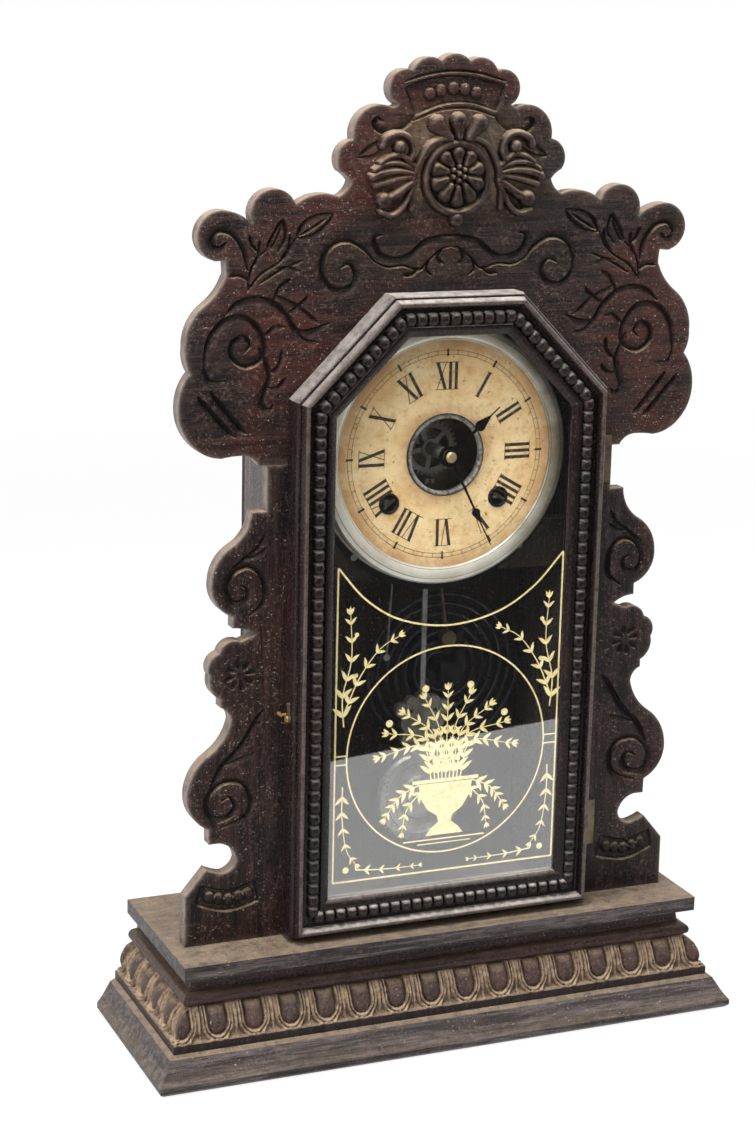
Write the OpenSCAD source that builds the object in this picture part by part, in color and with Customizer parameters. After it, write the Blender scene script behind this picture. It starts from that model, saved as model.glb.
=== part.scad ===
// Carved shelf clock with a glazed door, a striking movement, a coil gong and a pendulum.
// The front faces -Y, the clock stands on Z = 0 and X = 0 is its middle.

/* [Base] */
// Width of the clock over the foot moulding
base_width = 365.4; // [362:0.2:380]
// Height of the foot moulding
foot_height = 19.5; // [17:0.5:24]
// Height of the fillet and the rounded band with the eggs
egg_band_height = 23; // [20:0.5:28]
// Height of the round bead together with the neck above it
bead_height = 18; // [16:0.5:24]
// Thickness of the board that the case stands on
plate_thickness = 8.5; // [7:0.5:12]
// How far the foot stands out in front of the carved boards
front_overhang = 44.3; // [43:0.1:50]

/* [Case] */
// Outer width of the case box behind the carved boards
case_width = 190; // [189:0.5:194]
// Depth of the case box behind the carved boards
case_depth = 63; // [63:1:90]
// Height of the case box above the base
case_height = 377; // [374:1:382]
// Thickness of the sides and the top of the case
side_thickness = 9; // [7:0.5:11]
// Thickness of the back board
back_thickness = 4.5; // [4:0.5:6]
// Thickness of the carved front boards
board_thickness = 9; // [8:0.5:12]

/* [Door] */
// Width of the door frame members
frame_width = 23; // [22:0.5:24]
// Height of the door
door_height = 370.8; // [368:0.2:372]
// Thickness of the door glass
glass_thickness = 2; // [1.5:0.1:2.4]

/* [Dial and hands] */
// From the edge of the paper dial to the outer face of the case, measured across
dial_margin = 29.5; // [29:0.5:32]
// From the top of the case down to the edge of the paper dial
dial_headroom = 32.5; // [31.5:0.5:35.5]
// Length of the hour hand
hour_hand_length = 41; // [34:0.5:46]
// Length of the minute hand
minute_hand_length = 59; // [52:0.5:62]
// Direction of the hour hand, clockwise from twelve
hour_hand_angle = 49; // [0:1:359]
// Direction of the minute hand, clockwise from twelve
minute_hand_angle = 153; // [0:1:359]

/* [Movement] */
// Distance between the two winding holes
winding_spacing = 68; // [66:0.5:72]
// Thickness of the movement plates
movement_plate = 1.5; // [1.2:0.1:1.8]
// Radius of the winding arbors
arbor_radius = 2.8; // [2.5:0.1:3.2]

/* [Pendulum and gong] */
// Distance from the swing axis to the middle of the bob
pendulum_length = 185.5; // [170:0.5:195]
// Radius of the pendulum bob
bob_radius = 28; // [20:0.5:30]
// Radius of the gong measured to the middle of its outer wire
gong_radius = 51; // [46:0.5:54]
// Diameter of the gong wire
gong_wire = 2.2; // [1.6:0.1:2.8]
// Number of turns of the gong
gong_turns = 7; // [5:1:8]

/* [Clearances] */
// Radial play of pivots and pins in their holes
running_play = 0.05; // [0.02:0.01:0.1]
// Gap between the door and the parts round it
door_gap = 0.3; // [0.3:0.05:0.6]
// Gap all round the door glass
glass_play = 0.4; // [0.2:0.05:0.8]
// Gap between the hammer and what it strikes
hammer_gap = 0.6; // [0.4:0.1:1]

/* [Hidden] */
$fn = 64;

// Heights and depths that follow from the sizes above
base_height = foot_height + egg_band_height + bead_height + plate_thickness;
back_overhang = 5.5;
base_depth = front_overhang + board_thickness + case_depth + back_thickness + back_overhang;
face_y = front_overhang - base_depth / 2;
back_edge_y = base_depth / 2;
board_back_y = face_y + board_thickness;
case_back_y = board_back_y + case_depth;
setback = base_width / 2 - front_overhang;
case_half = case_width / 2;
opening_half = case_half - 13;
opening_bottom = base_height + 17;
opening_top = base_height + case_height - 15;
opening_corner = 48;
case_top_z = base_height + case_height;
shoulder_drop = 98.2;
side_board_top = case_top_z - shoulder_drop;
dial_radius = case_half - dial_margin;
dial_z = case_top_z - dial_headroom - dial_radius;

// Moves a flat drawing in X and Z to a slab that starts at y and is t thick
module slab(y, t) {
    translate([0, y + t, 0])
        rotate([90, 0, 0])
            linear_extrude(t)
                children();
}

// Round bar along Y between two depths
module bar_y(p, r, y1, y2) {
    translate([p[0], y1, p[1]])
        rotate([-90, 0, 0])
            cylinder(r = r, h = y2 - y1);
}

// Body of revolution about an axis along Y, drawn as radius and depth
module turned_y(p) {
    translate([p[0], 0, p[1]])
        rotate([-90, 0, 0])
            rotate_extrude()
                children();
}

// Block given by its two opposite corners
module block(lo, hi) {
    translate(lo)
        cube(hi - lo);
}

// Points of an arc from p to q that rises by s to the left of the way from p to q
function arc_points(p, q, s, n = 8) =
    s == 0 ? [p] :
    let (
        c = norm(q - p),
        u = (q - p) / c,
        side = [-u[1], u[0]] * sign(s),
        half = 2 * atan(2 * abs(s) / c),
        r = c / (2 * sin(half))
    )
    [for (i = [0 : n - 1])
        let (a = -half + 2 * half * i / n)
        p + u * (c / 2 + r * sin(a)) + side * (r * cos(a) - r * cos(half))];

// Line through knots given as across, up, rise of the arc to the next knot
function knot_line(k) =
    [for (i = [0 : len(k) - 1])
        let (p = [k[i][0], k[i][1]], q = i < len(k) - 1 ? [k[i + 1][0], k[i + 1][1]] : p)
        each arc_points(p, q, i < len(k) - 1 ? k[i][2] : 0)];

function raised(points, h) = [for (p = points) [p[0], p[1] + h]];
function mirrored(points) = [for (i = [len(points) - 1 : -1 : 0]) [-points[i][0], points[i][1]]];

// Right half of the fretted outline: crown and shoulders, heights above or below the top of the case
crown_knots = [
    [0, 125.5, 1], [8.6, 121.6, 4.2], [25.5, 116.6, 9.5], [34.3, 97.7, 0], [37.2, 96.5, 8.6],
    [60.2, 79.3, 5], [67.2, 62.3, -0.5], [60.8, 56.9, -1.3], [67.8, 48.8, 3.3],
    [92.6, 45, 13.2], [117.8, 35.3, 1.6], [135, 42.4, 4], [148.9, 28, 2.9], [138, 15.1, 0],
    [132.8, 15.6, 0], [132.2, 8.5, -1.6], [143.7, -8, 3.3], [155.2, -32, 1.1],
    [152.4, -45.4, 1.6], [159.2, -63, 2.8], [150, -86.2, 1.6], [134, -93.1, -0.3],
    [122.8, -92.1, -1.7], [112.3, -98.2, 0]
];

// Outer edge of the right side board, heights above the base
side_knots = [
    [107.6, case_height - shoulder_drop, 0], [107.6, 252.8, 0], [116.5, 252.8, -3], [128, 233.6, 2.8],
    [139.5, 214, 4.2], [126.7, 193.7, 0], [126.7, 187, -1.2], [113.2, 182.2, 0],
    [121.8, 179, 3.4], [134.6, 173, 3.5], [139.9, 160, 2.7], [133.6, 145.9, 0],
    [133.6, 141.3, -1.6], [127.5, 133, -2.2], [139.8, 114, 3.2], [153.3, 91, 3.9],
    [140.2, 69.5, 0], [140, 60.5, 0], [134, 60.5, -2.6], [123.2, 49.5, -2], [132, 42, -0.4],
    [141.5, 45.5, 0], [154.2, 30.3, 0], [154.4, 0, 0]
];

// Opening in the boards behind the door, with its cut corners
opening_outline = [
    [-opening_half, opening_bottom], [opening_half, opening_bottom],
    [opening_half, opening_top - opening_corner], [opening_half - opening_corner, opening_top],
    [-opening_half + opening_corner, opening_top], [-opening_half, opening_top - opening_corner]
];

// Base: layers whose front and side faces follow one profile, mitred at the corners
base_core_half = base_width / 2 - 32.7;
base_core_front = face_y - (base_core_half - setback);
module mitred_layer(profile) {
    top = profile[len(profile) - 1][1];
    bottom = profile[0][1];
    front = [for (p = profile) [face_y - (p[0] - setback), p[1]]];
    right = [for (p = profile) [p[0], p[1]]];
    difference() {
        intersection() {
            translate([-base_width, 0, 0])
                rotate([90, 0, 90])
                    linear_extrude(2 * base_width)
                        polygon(concat(front, [[back_edge_y, top], [back_edge_y, bottom]]));
            slab(-base_depth, 2 * base_depth)
                polygon(concat(right, mirrored(right)));
        }
        block([-base_core_half, base_core_front, bottom - 1],
            [base_core_half, back_edge_y + 1, top + 1]);
    }
}

half = base_width / 2;
foot_profile = [
    [half - 2.2, 0], [half, 0.1 * foot_height], [half, 0.26 * foot_height],
    [half - 2.4, 0.42 * foot_height], [half - 4.5, 0.58 * foot_height],
    [half - 6.2, 0.74 * foot_height], [half - 8.2, 0.92 * foot_height],
    [half - 11.4, foot_height]
];
egg_profile = raised([
    [half - 11.4, 0], [half - 11.4, 0.24 * egg_band_height], [half - 13.7, 0.35 * egg_band_height],
    [half - 14, 0.5 * egg_band_height], [half - 15.2, 0.66 * egg_band_height],
    [half - 17.2, 0.82 * egg_band_height], [half - 20.7, egg_band_height]
], foot_height);
bead_start = foot_height + egg_band_height;
bead_rise = bead_height * 0.39;
bead_profile = concat(
    [[half - 25, bead_start]],
    [for (a = [-90 : 15 : 90])
        [half - 23.2 + bead_rise / 2 * cos(a), bead_start + 0.3 + bead_rise / 2 * (1 + sin(a))]],
    [[half - 25.2, bead_start + 0.42 * bead_height], [half - 26.7, bead_start + bead_height]]
);

module base_box() {
    color("#3a2c22")
        difference() {
            block([-base_core_half, base_core_front, 0],
                [base_core_half, back_edge_y, base_height - plate_thickness]);
            block([-base_core_half + 10, base_core_front + 10, -1],
                [base_core_half - 10, back_edge_y - 10, base_height]);
        }
}

module foot_moulding() {
    color("#2c2320")
        mitred_layer(foot_profile);
}

// Eggs of the band: a dome in a raised rim with a dart beside it, on a ground set back from the face
egg_ground = 3;
egg_radius = 6;
egg_lean = 22;
egg_rim = 7.6;
egg_rim_wall = 1.3;
egg_run = 16;
egg_pitch = (base_width - 22.8) / 15.5;
egg_inset = 21.1;
egg_level = foot_height + 12.7;
egg_corner = face_y - (half - 15.2 - setback) + 1.8;
ground_profile = concat(
    [egg_profile[0], egg_profile[1], [half - 16.5, foot_height + 0.29 * egg_band_height]],
    [for (i = [3 : len(egg_profile) - 1]) [egg_profile[i][0] - egg_ground, egg_profile[i][1]]]
);

// One egg: X across, -Y out of the band, Z up its slope
module egg_unit() {
    rotate([-egg_lean, 0, 0]) {
        sphere(r = egg_radius);
        cylinder(r = egg_radius, h = egg_run);
        slab(-5.2, 3.4) {
            difference() {
                union() {
                    circle(r = egg_rim);
                    translate([-egg_rim, 0])
                        square([2 * egg_rim, egg_run]);
                }
                circle(r = egg_rim - egg_rim_wall);
                translate([egg_rim_wall - egg_rim, 0])
                    square([2 * (egg_rim - egg_rim_wall), egg_run + 1]);
            }
            translate([egg_pitch / 2, 0])
                polygon([[-0.4, -5], [0.4, -5], [1.3, egg_run], [-1.3, egg_run]]);
        }
    }
}

module egg_band() {
    color("#2c2320")
        intersection() {
            mitred_layer(egg_profile);
            union() {
                mitred_layer(ground_profile);
                for (i = [0 : 15])
                    translate([(i - 7.5) * egg_pitch, face_y - (half - egg_inset - setback), egg_level])
                        egg_unit();
                for (i = [0 : 5]) {
                    translate([half - egg_inset, egg_corner + i * egg_pitch, egg_level])
                        rotate([0, 0, 90])
                            egg_unit();
                    translate([egg_inset - half, egg_corner + i * egg_pitch, egg_level])
                        rotate([0, 0, -90])
                            egg_unit();
                }
            }
        }
}

module bead_moulding() {
    color("#2c2320")
        mitred_layer(bead_profile);
}

module base_plate() {
    plate_half = half - 19.2;
    color("#4a4038")
        block([-plate_half, face_y - (plate_half - setback) - 3.4, base_height - plate_thickness],
            [plate_half, back_edge_y, base_height]);
}

// Carved front boards; their relief is cut below this face
module front_top_board() {
    right = concat(raised(knot_line(crown_knots), case_top_z), [[opening_half, side_board_top]]);
    color("#33231c")
        difference() {
            slab(face_y, board_thickness)
                polygon(concat(mirrored(right), [for (i = [1 : len(right) - 1]) right[i]]));
            slab(face_y - 1, board_thickness + 2)
                polygon(opening_outline);
        }
}

module side_board() {
    edge = raised(knot_line(side_knots), base_height);
    slab(face_y, board_thickness)
        polygon(concat(edge, [[opening_half, base_height], [opening_half, side_board_top]]));
}

module front_right_board() {
    color("#2c2320")
        side_board();
}

module front_left_board() {
    color("#2c2320")
        difference() {
            mirror([1, 0, 0])
                side_board();
            bar_y([eye_x, eye_z], eye_radius + running_play, face_y - 1, face_y + eye_depth + 0.5);
        }
}

module front_bottom_rail() {
    color("#2c2320")
        block([-opening_half, face_y, base_height], [opening_half, board_back_y, opening_bottom]);
}

// Applied rosette: a domed middle with lobes above, a berry below and leaves at the sides
rosette_x = 1.5;
rosette_z = case_top_z + 57.5;
rosette_rise = 6;
module rosette_disc(x, z, r, rise) {
    bar_y([rosette_x + x, rosette_z + z], r, face_y - rise, face_y);
}
module crown_rosette() {
    color("#3b2a22")
        union() {
            rosette_disc(0, 0, 21, rosette_rise);
            rosette_disc(0, 19, 10, rosette_rise);
            rosette_disc(-11, 26, 6.2, rosette_rise);
            rosette_disc(0, 28, 6.2, rosette_rise);
            rosette_disc(11, 26, 6.2, rosette_rise);
            rosette_disc(0, -21, 6, rosette_rise);
            for (side = [-1, 1]) {
                rosette_disc(side * 27, 2, 14, rosette_rise - 1);
                rosette_disc(side * 40, 0, 10, rosette_rise - 1);
                rosette_disc(side * 48, -2, 5, rosette_rise - 1);
                rosette_disc(side * 20, -12, 9, rosette_rise - 1);
            }
        }
}

// Case box
module case_side_right() {
    color("#2c2320")
        block([case_half - side_thickness, board_back_y, base_height],
            [case_half, case_back_y, case_top_z - side_thickness]);
}

module case_side_left() {
    mirror([1, 0, 0])
        case_side_right();
}

module case_top() {
    color("#2c2320")
        block([-case_half, board_back_y, case_top_z - side_thickness],
            [case_half, case_back_y, case_top_z]);
}

module back_board() {
    color("#4b3a2c")
        difference() {
            block([-case_half, case_back_y, base_height],
                [case_half, case_back_y + back_thickness, case_top_z]);
            for (p = pillar_places)
                bar_y(p, pillar_neck + running_play, case_back_y - 1, case_back_y + stud_depth);
            for (p = gong_screw_places)
                bar_y(p, screw_radius + running_play, case_back_y - 1, case_back_y + stud_depth);
        }
}

// Dial: a thin pan with a bright rounded band and a screwed flange behind it
pan_sheet = 0.6;
pan_floor_y = face_y + 1.2;
band_inner = dial_radius + 0.5;
band_width = 9.5;
flange_radius = band_inner + 14.5;
flange_y = board_back_y - pan_sheet;
centre_hole = 21.9;
winding_drop = 26.5;
winding_places = [
    [-winding_spacing / 2, dial_z - winding_drop],
    [winding_spacing / 2, dial_z - winding_drop]
];
dial_screw_places = [for (a = [48, 132, 228, 312])
    [(flange_radius - 2.6) * cos(a), dial_z + (flange_radius - 2.6) * sin(a)]];
screw_radius = 1;
screw_depth = 7;
stud_depth = 3.5;

module dial_pan() {
    band = [for (a = [180 : -12 : 0])
        [band_inner + band_width / 2 * (1 + cos(a)), pan_floor_y - 2.2 * sin(a)]];
    band_back = [for (a = [0 : 12 : 180])
        [band_inner + band_width / 2 + (band_width / 2 - pan_sheet) * cos(a),
            pan_floor_y + pan_sheet - 2.2 * sin(a)]];
    color("#b9b6a6")
        difference() {
            turned_y([0, dial_z])
                polygon(concat(
                    [[centre_hole, pan_floor_y]], band,
                    [[band_inner + band_width, flange_y], [flange_radius, flange_y],
                        [flange_radius, flange_y + pan_sheet],
                        [band_inner + band_width - pan_sheet, flange_y + pan_sheet]],
                    band_back,
                    [[centre_hole, pan_floor_y + pan_sheet]]));
            for (p = winding_places)
                bar_y(p, winding_hole, pan_floor_y - 5, pan_floor_y + 5);
            for (p = dial_screw_places)
                bar_y(p, screw_radius + running_play, flange_y - 1, flange_y + 2);
        }
}

paper_thickness = 0.2;
winding_hole = 5;
module dial_paper() {
    color("#e3c48c")
        difference() {
            bar_y([0, dial_z], dial_radius, pan_floor_y - paper_thickness, pan_floor_y);
            bar_y([0, dial_z], centre_hole, pan_floor_y - 2, pan_floor_y + 2);
            for (p = winding_places)
                bar_y(p, winding_hole, pan_floor_y - 2, pan_floor_y + 2);
        }
}

module eyelet(p, hole, lip, sheet) {
    lip_back = pan_floor_y - paper_thickness;
    turned_y(p)
        polygon([
            [hole - sheet, lip_back - 0.5], [hole, lip_back - 1], [hole + lip / 2, lip_back - 1.1],
            [hole + lip, lip_back - 0.5], [hole + lip, lip_back], [hole - running_play, lip_back],
            [hole - running_play, pan_floor_y + 2], [hole - sheet, pan_floor_y + 2]
        ]);
}

module dial_eyelets() {
    color("#b5ad96")
        union() {
            eyelet([0, dial_z], centre_hole, 2, 0.8);
            for (p = winding_places)
                eyelet(p, winding_hole, 1.2, 0.6);
        }
}

module dial_blocks() {
    color("#4b3a2c")
        difference() {
            for (sx = [-1, 1])
                for (sz = [-1, 1])
                    block([sx > 0 ? 40 : -case_half + side_thickness, board_back_y,
                            dial_z + (sz > 0 ? 44 : -72)],
                        [sx > 0 ? case_half - side_thickness : -40, board_back_y + 12,
                            dial_z + (sz > 0 ? 72 : -44)]);
            for (p = dial_screw_places)
                bar_y(p, screw_radius + running_play, flange_y - 1, flange_y + screw_depth + 1);
        }
}

module wood_screw(p, head_y, reach) {
    union() {
        bar_y(p, 2, head_y - 1.2, head_y);
        bar_y(p, screw_radius, head_y - 1, head_y + reach);
    }
}

module wood_screws() {
    color("#8a8474")
        union() {
            for (p = dial_screw_places)
                wood_screw(p, flange_y, screw_depth);
            for (p = gong_screw_places)
                wood_screw(p, case_back_y - 12, 12 + stud_depth - 0.3);
        }
}

// Door: six mitred members round a pane
door_half = case_half + 0.5;
door_bottom = base_height + 1.5;
door_top = door_bottom + door_height;
door_corner = 56;
door_back_y = face_y - door_gap;
rabbet = frame_width - 5;
door_lip_y = face_y - 14;
door_corners = [
    [-door_half, door_bottom], [door_half, door_bottom],
    [door_half, door_top - door_corner - 0.8], [door_half - door_corner, door_top],
    [-door_half + door_corner, door_top], [-door_half, door_top - door_corner - 0.8]
];

// Corner i of the door outline moved inwards by d
function inward(i, d) =
    let (
        v = door_corners[i],
        a = door_corners[(i + 5) % 6],
        b = door_corners[(i + 1) % 6],
        u = (v - a) / norm(v - a),
        w = (b - v) / norm(b - v),
        n = [-u[1], u[0]],
        m = [-w[1], w[0]]
    )
    v + (n + m) * d / (1 + n * m);

frame_profile = concat(
    [[door_back_y, 0]],
    [for (a = [0 : 18 : 90]) [face_y - 12 - 2.8 * sin(a), 2 - 2 * cos(a)]],
    [for (a = [0 : 15 : 180]) [face_y - 15 - 5 * sin(a), 4.6 - 2.4 * cos(a)]],
    [[face_y - 14.5, 7.2], [face_y - 14.3, 8.4], [face_y - 14.8, 9.5]],
    [for (a = [20 : 20 : 160])
        [face_y - 16 - 3 * sin(a), 13.25 - 3.75 * cos(a) / cos(20)]],
    [[face_y - 17, 17.3], [door_lip_y - 0.4, frame_width], [door_lip_y, frame_width],
        [door_lip_y, rabbet], [door_back_y, rabbet]]
);

// Member i of the door with the given profile, cut off at the mitres
module member(i, profile, inner) {
    p = door_corners[i];
    q = door_corners[(i + 1) % 6];
    turn = atan2(q[1] - p[1], q[0] - p[0]);
    reach = norm(q - p);
    intersection() {
        translate([p[0], 0, p[1]])
            rotate([0, -turn, 0])
                translate([-10, 0, 0])
                    rotate([90, 0, 90])
                        linear_extrude(reach + 20)
                            polygon(profile);
        slab(face_y - 40, 80)
            polygon([p, q, inward((i + 1) % 6, inner), inward(i, inner)]);
    }
}

module door_bottom_rail() {
    color("#2c2320")
        member(0, frame_profile, frame_width + 2);
}

module door_right_stile() {
    color("#2c2320")
        member(1, frame_profile, frame_width + 2);
}

module door_right_diagonal() {
    color("#2c2320")
        member(2, frame_profile, frame_width + 2);
}

module door_top_rail() {
    color("#2c2320")
        member(3, frame_profile, frame_width + 2);
}

module door_left_diagonal() {
    color("#2c2320")
        member(4, frame_profile, frame_width + 2);
}

module door_left_stile() {
    color("#2c2320")
        difference() {
            member(5, frame_profile, frame_width + 2);
            bar_x([hook_y, hook_z], hook_screw + running_play, -door_half - 1,
                -door_half + hook_screw_depth + 0.5);
        }
}

module door_glass() {
    color("#b8c4c4")
        slab(door_lip_y, glass_thickness)
            polygon([for (i = [0 : 5]) inward(i, rabbet + glass_play)]);
}

module glass_strips() {
    color("#3a2c22")
        slab(door_lip_y + glass_thickness, 3)
            difference() {
                polygon([for (i = [0 : 5]) inward(i, rabbet)]);
                polygon([for (i = [0 : 5]) inward(i, rabbet + 3.5)]);
            }
}

// Hinges on the right edge of the door
hinge_x = door_half + 2;
hinge_y = face_y - 2.2;
hinge_zs = [base_height + 46, base_height + 271];
knuckle = 1.8;
hinge_pin_radius = 0.8;
leaf_sheet = 0.6;
leaf_half = 14;
knuckle_half = 5.5;

module bar_z(p, r, z1, z2) {
    translate([p[0], p[1], z1])
        cylinder(r = r, h = z2 - z1);
}

// Round bar along X between two positions
module bar_x(p, r, x1, x2) {
    translate([x1, p[0], p[1]])
        rotate([0, 90, 0])
            cylinder(r = r, h = x2 - x1);
}

module door_hinge_leaves() {
    color("#a0884a")
        for (z = hinge_zs)
            difference() {
                union() {
                    for (s = [-1, 1])
                        bar_z([hinge_x, hinge_y], knuckle,
                            z + (s > 0 ? knuckle_half + 0.3 : -leaf_half),
                            z + (s > 0 ? leaf_half : -knuckle_half - 0.3));
                    difference() {
                        block([door_half, face_y - 11, z - leaf_half],
                            [door_half + leaf_sheet, hinge_y, z + leaf_half]);
                        block([door_half - 1, hinge_y - knuckle - 0.4, z - knuckle_half - 0.3],
                            [door_half + 1, hinge_y + 1, z + knuckle_half + 0.3]);
                    }
                }
                bar_z([hinge_x, hinge_y], hinge_pin_radius + running_play,
                    z - leaf_half - 1, z + leaf_half + 1);
            }
}

module case_hinge_leaves() {
    color("#a0884a")
        for (z = hinge_zs)
            union() {
                bar_z([hinge_x, hinge_y], knuckle, z - knuckle_half, z + knuckle_half);
                bar_z([hinge_x, hinge_y], hinge_pin_radius, z - leaf_half - 0.5, z + leaf_half + 0.5);
                block([hinge_x, face_y - leaf_sheet, z - knuckle_half],
                    [hinge_x + 9, face_y, z + knuckle_half]);
                block([hinge_x + 2.5, face_y - leaf_sheet, z - leaf_half],
                    [hinge_x + 9, face_y, z + leaf_half]);
            }
}

// Hook on the left edge of the door and the eye on the board
hook_y = face_y - 9.5;
hook_z = base_height + 134.2;
hook_screw = 0.9;
hook_screw_depth = 5;
hook_sheet = 1;
hook_x = -door_half - 0.4 - hook_sheet;
module hook_disc(y, z, r) {
    bar_x([hook_y + y, hook_z + z], r, hook_x, hook_x + hook_sheet);
}
module catch_hook() {
    color("#b59a55")
        difference() {
            union() {
                hook_disc(0, 0, 2.2);
                block([hook_x, hook_y - 1.2, hook_z], [hook_x + hook_sheet, hook_y + 1.2, hook_z + 8.4]);
                hook_disc(0, 8.4, 1.2);
                block([hook_x, hook_y, hook_z + 7.3], [hook_x + hook_sheet, hook_y + 2.5, hook_z + 8.7]);
                hook_disc(2.5, 8, 0.7);
            }
            bar_x([hook_y, hook_z], hook_screw + running_play, hook_x - 1, hook_x + hook_sheet + 1);
        }
}

module catch_screw() {
    color("#b59a55")
        union() {
            bar_x([hook_y, hook_z], hook_screw, hook_x - 0.5, -door_half + hook_screw_depth);
            bar_x([hook_y, hook_z], 1.9, hook_x - 1.3, hook_x - 0.3);
        }
}

eye_x = -door_half - 3.5;
eye_z = hook_z + 0.8;
eye_radius = 1;
eye_depth = 5;
module catch_eye() {
    color("#b59a55")
        union() {
            bar_y([eye_x, eye_z], eye_radius, face_y - 4.4, face_y + eye_depth);
            bar_x([face_y - 3.5, eye_z], 0.7, eye_x, -door_half - 0.35);
        }
}

// Toothed wheels. Angles are seen from the front and run anticlockwise from +X
function tooth_radius(teeth, m) = teeth * m / 2;
function tooth_points(teeth, m, phase) =
    let (
        r = tooth_radius(teeth, m),
        tip = r + 0.75 * m,
        root = r - 1.15 * m,
        step = 360 / teeth
    )
    [for (i = [0 : teeth - 1])
        let (a = phase + i * step)
        each [
            root * [cos(a - 0.27 * step), sin(a - 0.27 * step)],
            r * [cos(a - 0.2 * step), sin(a - 0.2 * step)],
            tip * [cos(a - 0.09 * step), sin(a - 0.09 * step)],
            tip * [cos(a + 0.09 * step), sin(a + 0.09 * step)],
            r * [cos(a + 0.2 * step), sin(a + 0.2 * step)],
            root * [cos(a + 0.27 * step), sin(a + 0.27 * step)]
        ]];

// Phase of the wheel at q that meshes with the wheel at p
function mesh_phase(p, q, teeth_p, phase_p, teeth_q) =
    let (dir = atan2(q[1] - p[1], q[0] - p[0]))
    dir + 180 - (0.5 - (dir - phase_p) * teeth_p / 360) * 360 / teeth_q;

// Point at rp from p and rq from q, on the left of the way from p to q when side is 1
function meet(p, q, rp, rq, side) =
    let (
        d = norm(q - p),
        u = (q - p) / d,
        a = (rp * rp - rq * rq + d * d) / (2 * d),
        h = sqrt(rp * rp - a * a)
    )
    p + a * u + side * h * [-u[1], u[0]];

module toothed(p, y, t, teeth, m, phase, bore, rim = 0, spokes = 0) {
    root = tooth_radius(teeth, m) - 1.15 * m;
    hub = max(bore + 1.5, root * 0.22);
    slab(y, t)
        translate(p)
            difference() {
                union() {
                    difference() {
                        polygon(tooth_points(teeth, m, phase));
                        if (spokes > 0)
                            circle(root - rim);
                    }
                    if (spokes > 0) {
                        circle(hub);
                        for (i = [0 : spokes - 1])
                            rotate(phase + i * 360 / spokes)
                                translate([0, -rim / 2])
                                    square([root - rim / 2, rim]);
                    }
                }
                if (bore > 0)
                    circle(bore);
            }
}

// Depths of the movement, counted from the face of the front boards
front_plate_y = face_y + 32;
front_plate_back = front_plate_y + movement_plate;
plate_gap = 27;
back_plate_y = front_plate_back + plate_gap;
back_plate_back = back_plate_y + movement_plate;
function level(d) = face_y + d;
pivot = 0.8;
staff = 1.2;

centre = [0, dial_z];
time_axis = winding_places[1];
strike_axis = winding_places[0];
coarse = 0.8;
fine = 0.5;
great_teeth = 70;
second_leaves = 10;
second_teeth = 50;
centre_leaves = 12;
centre_teeth = 80;
third_leaves = 8;
third_teeth = 72;
escape_leaves = 6;
escape_teeth = 35;
lifting_teeth = 40;
fly_leaves = 8;
function reach_of(a, b, m) = tooth_radius(a, m) + tooth_radius(b, m);
second_axis = meet(centre, time_axis, reach_of(second_teeth, centre_leaves, coarse),
    reach_of(great_teeth, second_leaves, coarse), 1);
lifting_axis = [-second_axis[0], second_axis[1]];
third_axis = centre - [0, reach_of(centre_teeth, third_leaves, fine)];
escape_play = 0.2;
escape_axis = third_axis - [0, reach_of(third_teeth, escape_leaves, fine) + escape_play];
verge_axis = escape_axis + [0, 15];
fly_axis = lifting_axis + reach_of(lifting_teeth, fly_leaves, coarse) * [cos(100), sin(100)];
hammer_axis = [14, dial_z - 54];
trip_axis = [-14, dial_z - 54];
minute_axis = centre + 20 * [cos(135), sin(135)];

// Phases so that all teeth mesh at rest
centre_leaf_phase = 0;
second_phase = mesh_phase(centre, second_axis, centre_leaves, centre_leaf_phase, second_teeth);
great_phase = mesh_phase(second_axis, time_axis, second_leaves, 0, great_teeth);
centre_phase = 0;
third_leaf_phase = mesh_phase(centre, third_axis, centre_teeth, centre_phase, third_leaves);
escape_leaf_phase = mesh_phase(third_axis, escape_axis, third_teeth, 0, escape_leaves);
strike_phase = mesh_phase(lifting_axis, strike_axis, second_leaves, 0, great_teeth);
fly_phase = mesh_phase(lifting_axis, fly_axis, lifting_teeth, 0, fly_leaves);
cannon_teeth = 10;
minute_teeth = 30;
minute_leaves = 8;
hour_teeth = 32;
minute_phase = mesh_phase(centre, minute_axis, cannon_teeth, 0, minute_teeth);
hour_phase = mesh_phase(minute_axis, centre, minute_leaves, 0, hour_teeth);

plate_half_width = 60;
plate_bottom = dial_z - 62;
plate_top = dial_z + 48;
pillar_places = [for (sx = [-1, 1]) for (z = [plate_bottom + 6, plate_top - 6])
    [sx * (plate_half_width - 6), z]];
pillar_neck = 1.8;

// A staff with a pivot at each end that runs in the two plates
module staff_between(p, first = 0) {
    start = first == 0 ? front_plate_back + 0.3 : first;
    union() {
        bar_y(p, staff, start, back_plate_y - 0.3);
        bar_y(p, pivot, first == 0 ? front_plate_y - 0.4 : first, back_plate_back + 0.4);
    }
}

module plate_blank(y) {
    slab(y, movement_plate)
        difference() {
            translate([-plate_half_width, plate_bottom])
                square([2 * plate_half_width, plate_top - plate_bottom]);
            for (p = pillar_places)
                translate(p)
                    circle(pillar_neck + running_play);
            for (p = [second_axis, lifting_axis, third_axis, escape_axis, fly_axis, hammer_axis, trip_axis])
                translate(p)
                    circle(pivot + running_play);
            for (p = winding_places)
                translate(p)
                    circle(arbor_radius - 0.6 + running_play);
            for (sx = [-1, 1])
                translate([sx * 30, plate_top - 13])
                    circle(7);
        }
}

module front_plate() {
    color("#a8935a")
        difference() {
            plate_blank(front_plate_y);
            bar_y(centre, centre_staff + running_play, front_plate_y - 1, front_plate_back + 1);
            for (p = [minute_axis, verge_axis, post_axis])
                bar_y(p, stud_radius + running_play, front_plate_y - 1, front_plate_back + 1);
        }
}

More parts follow.
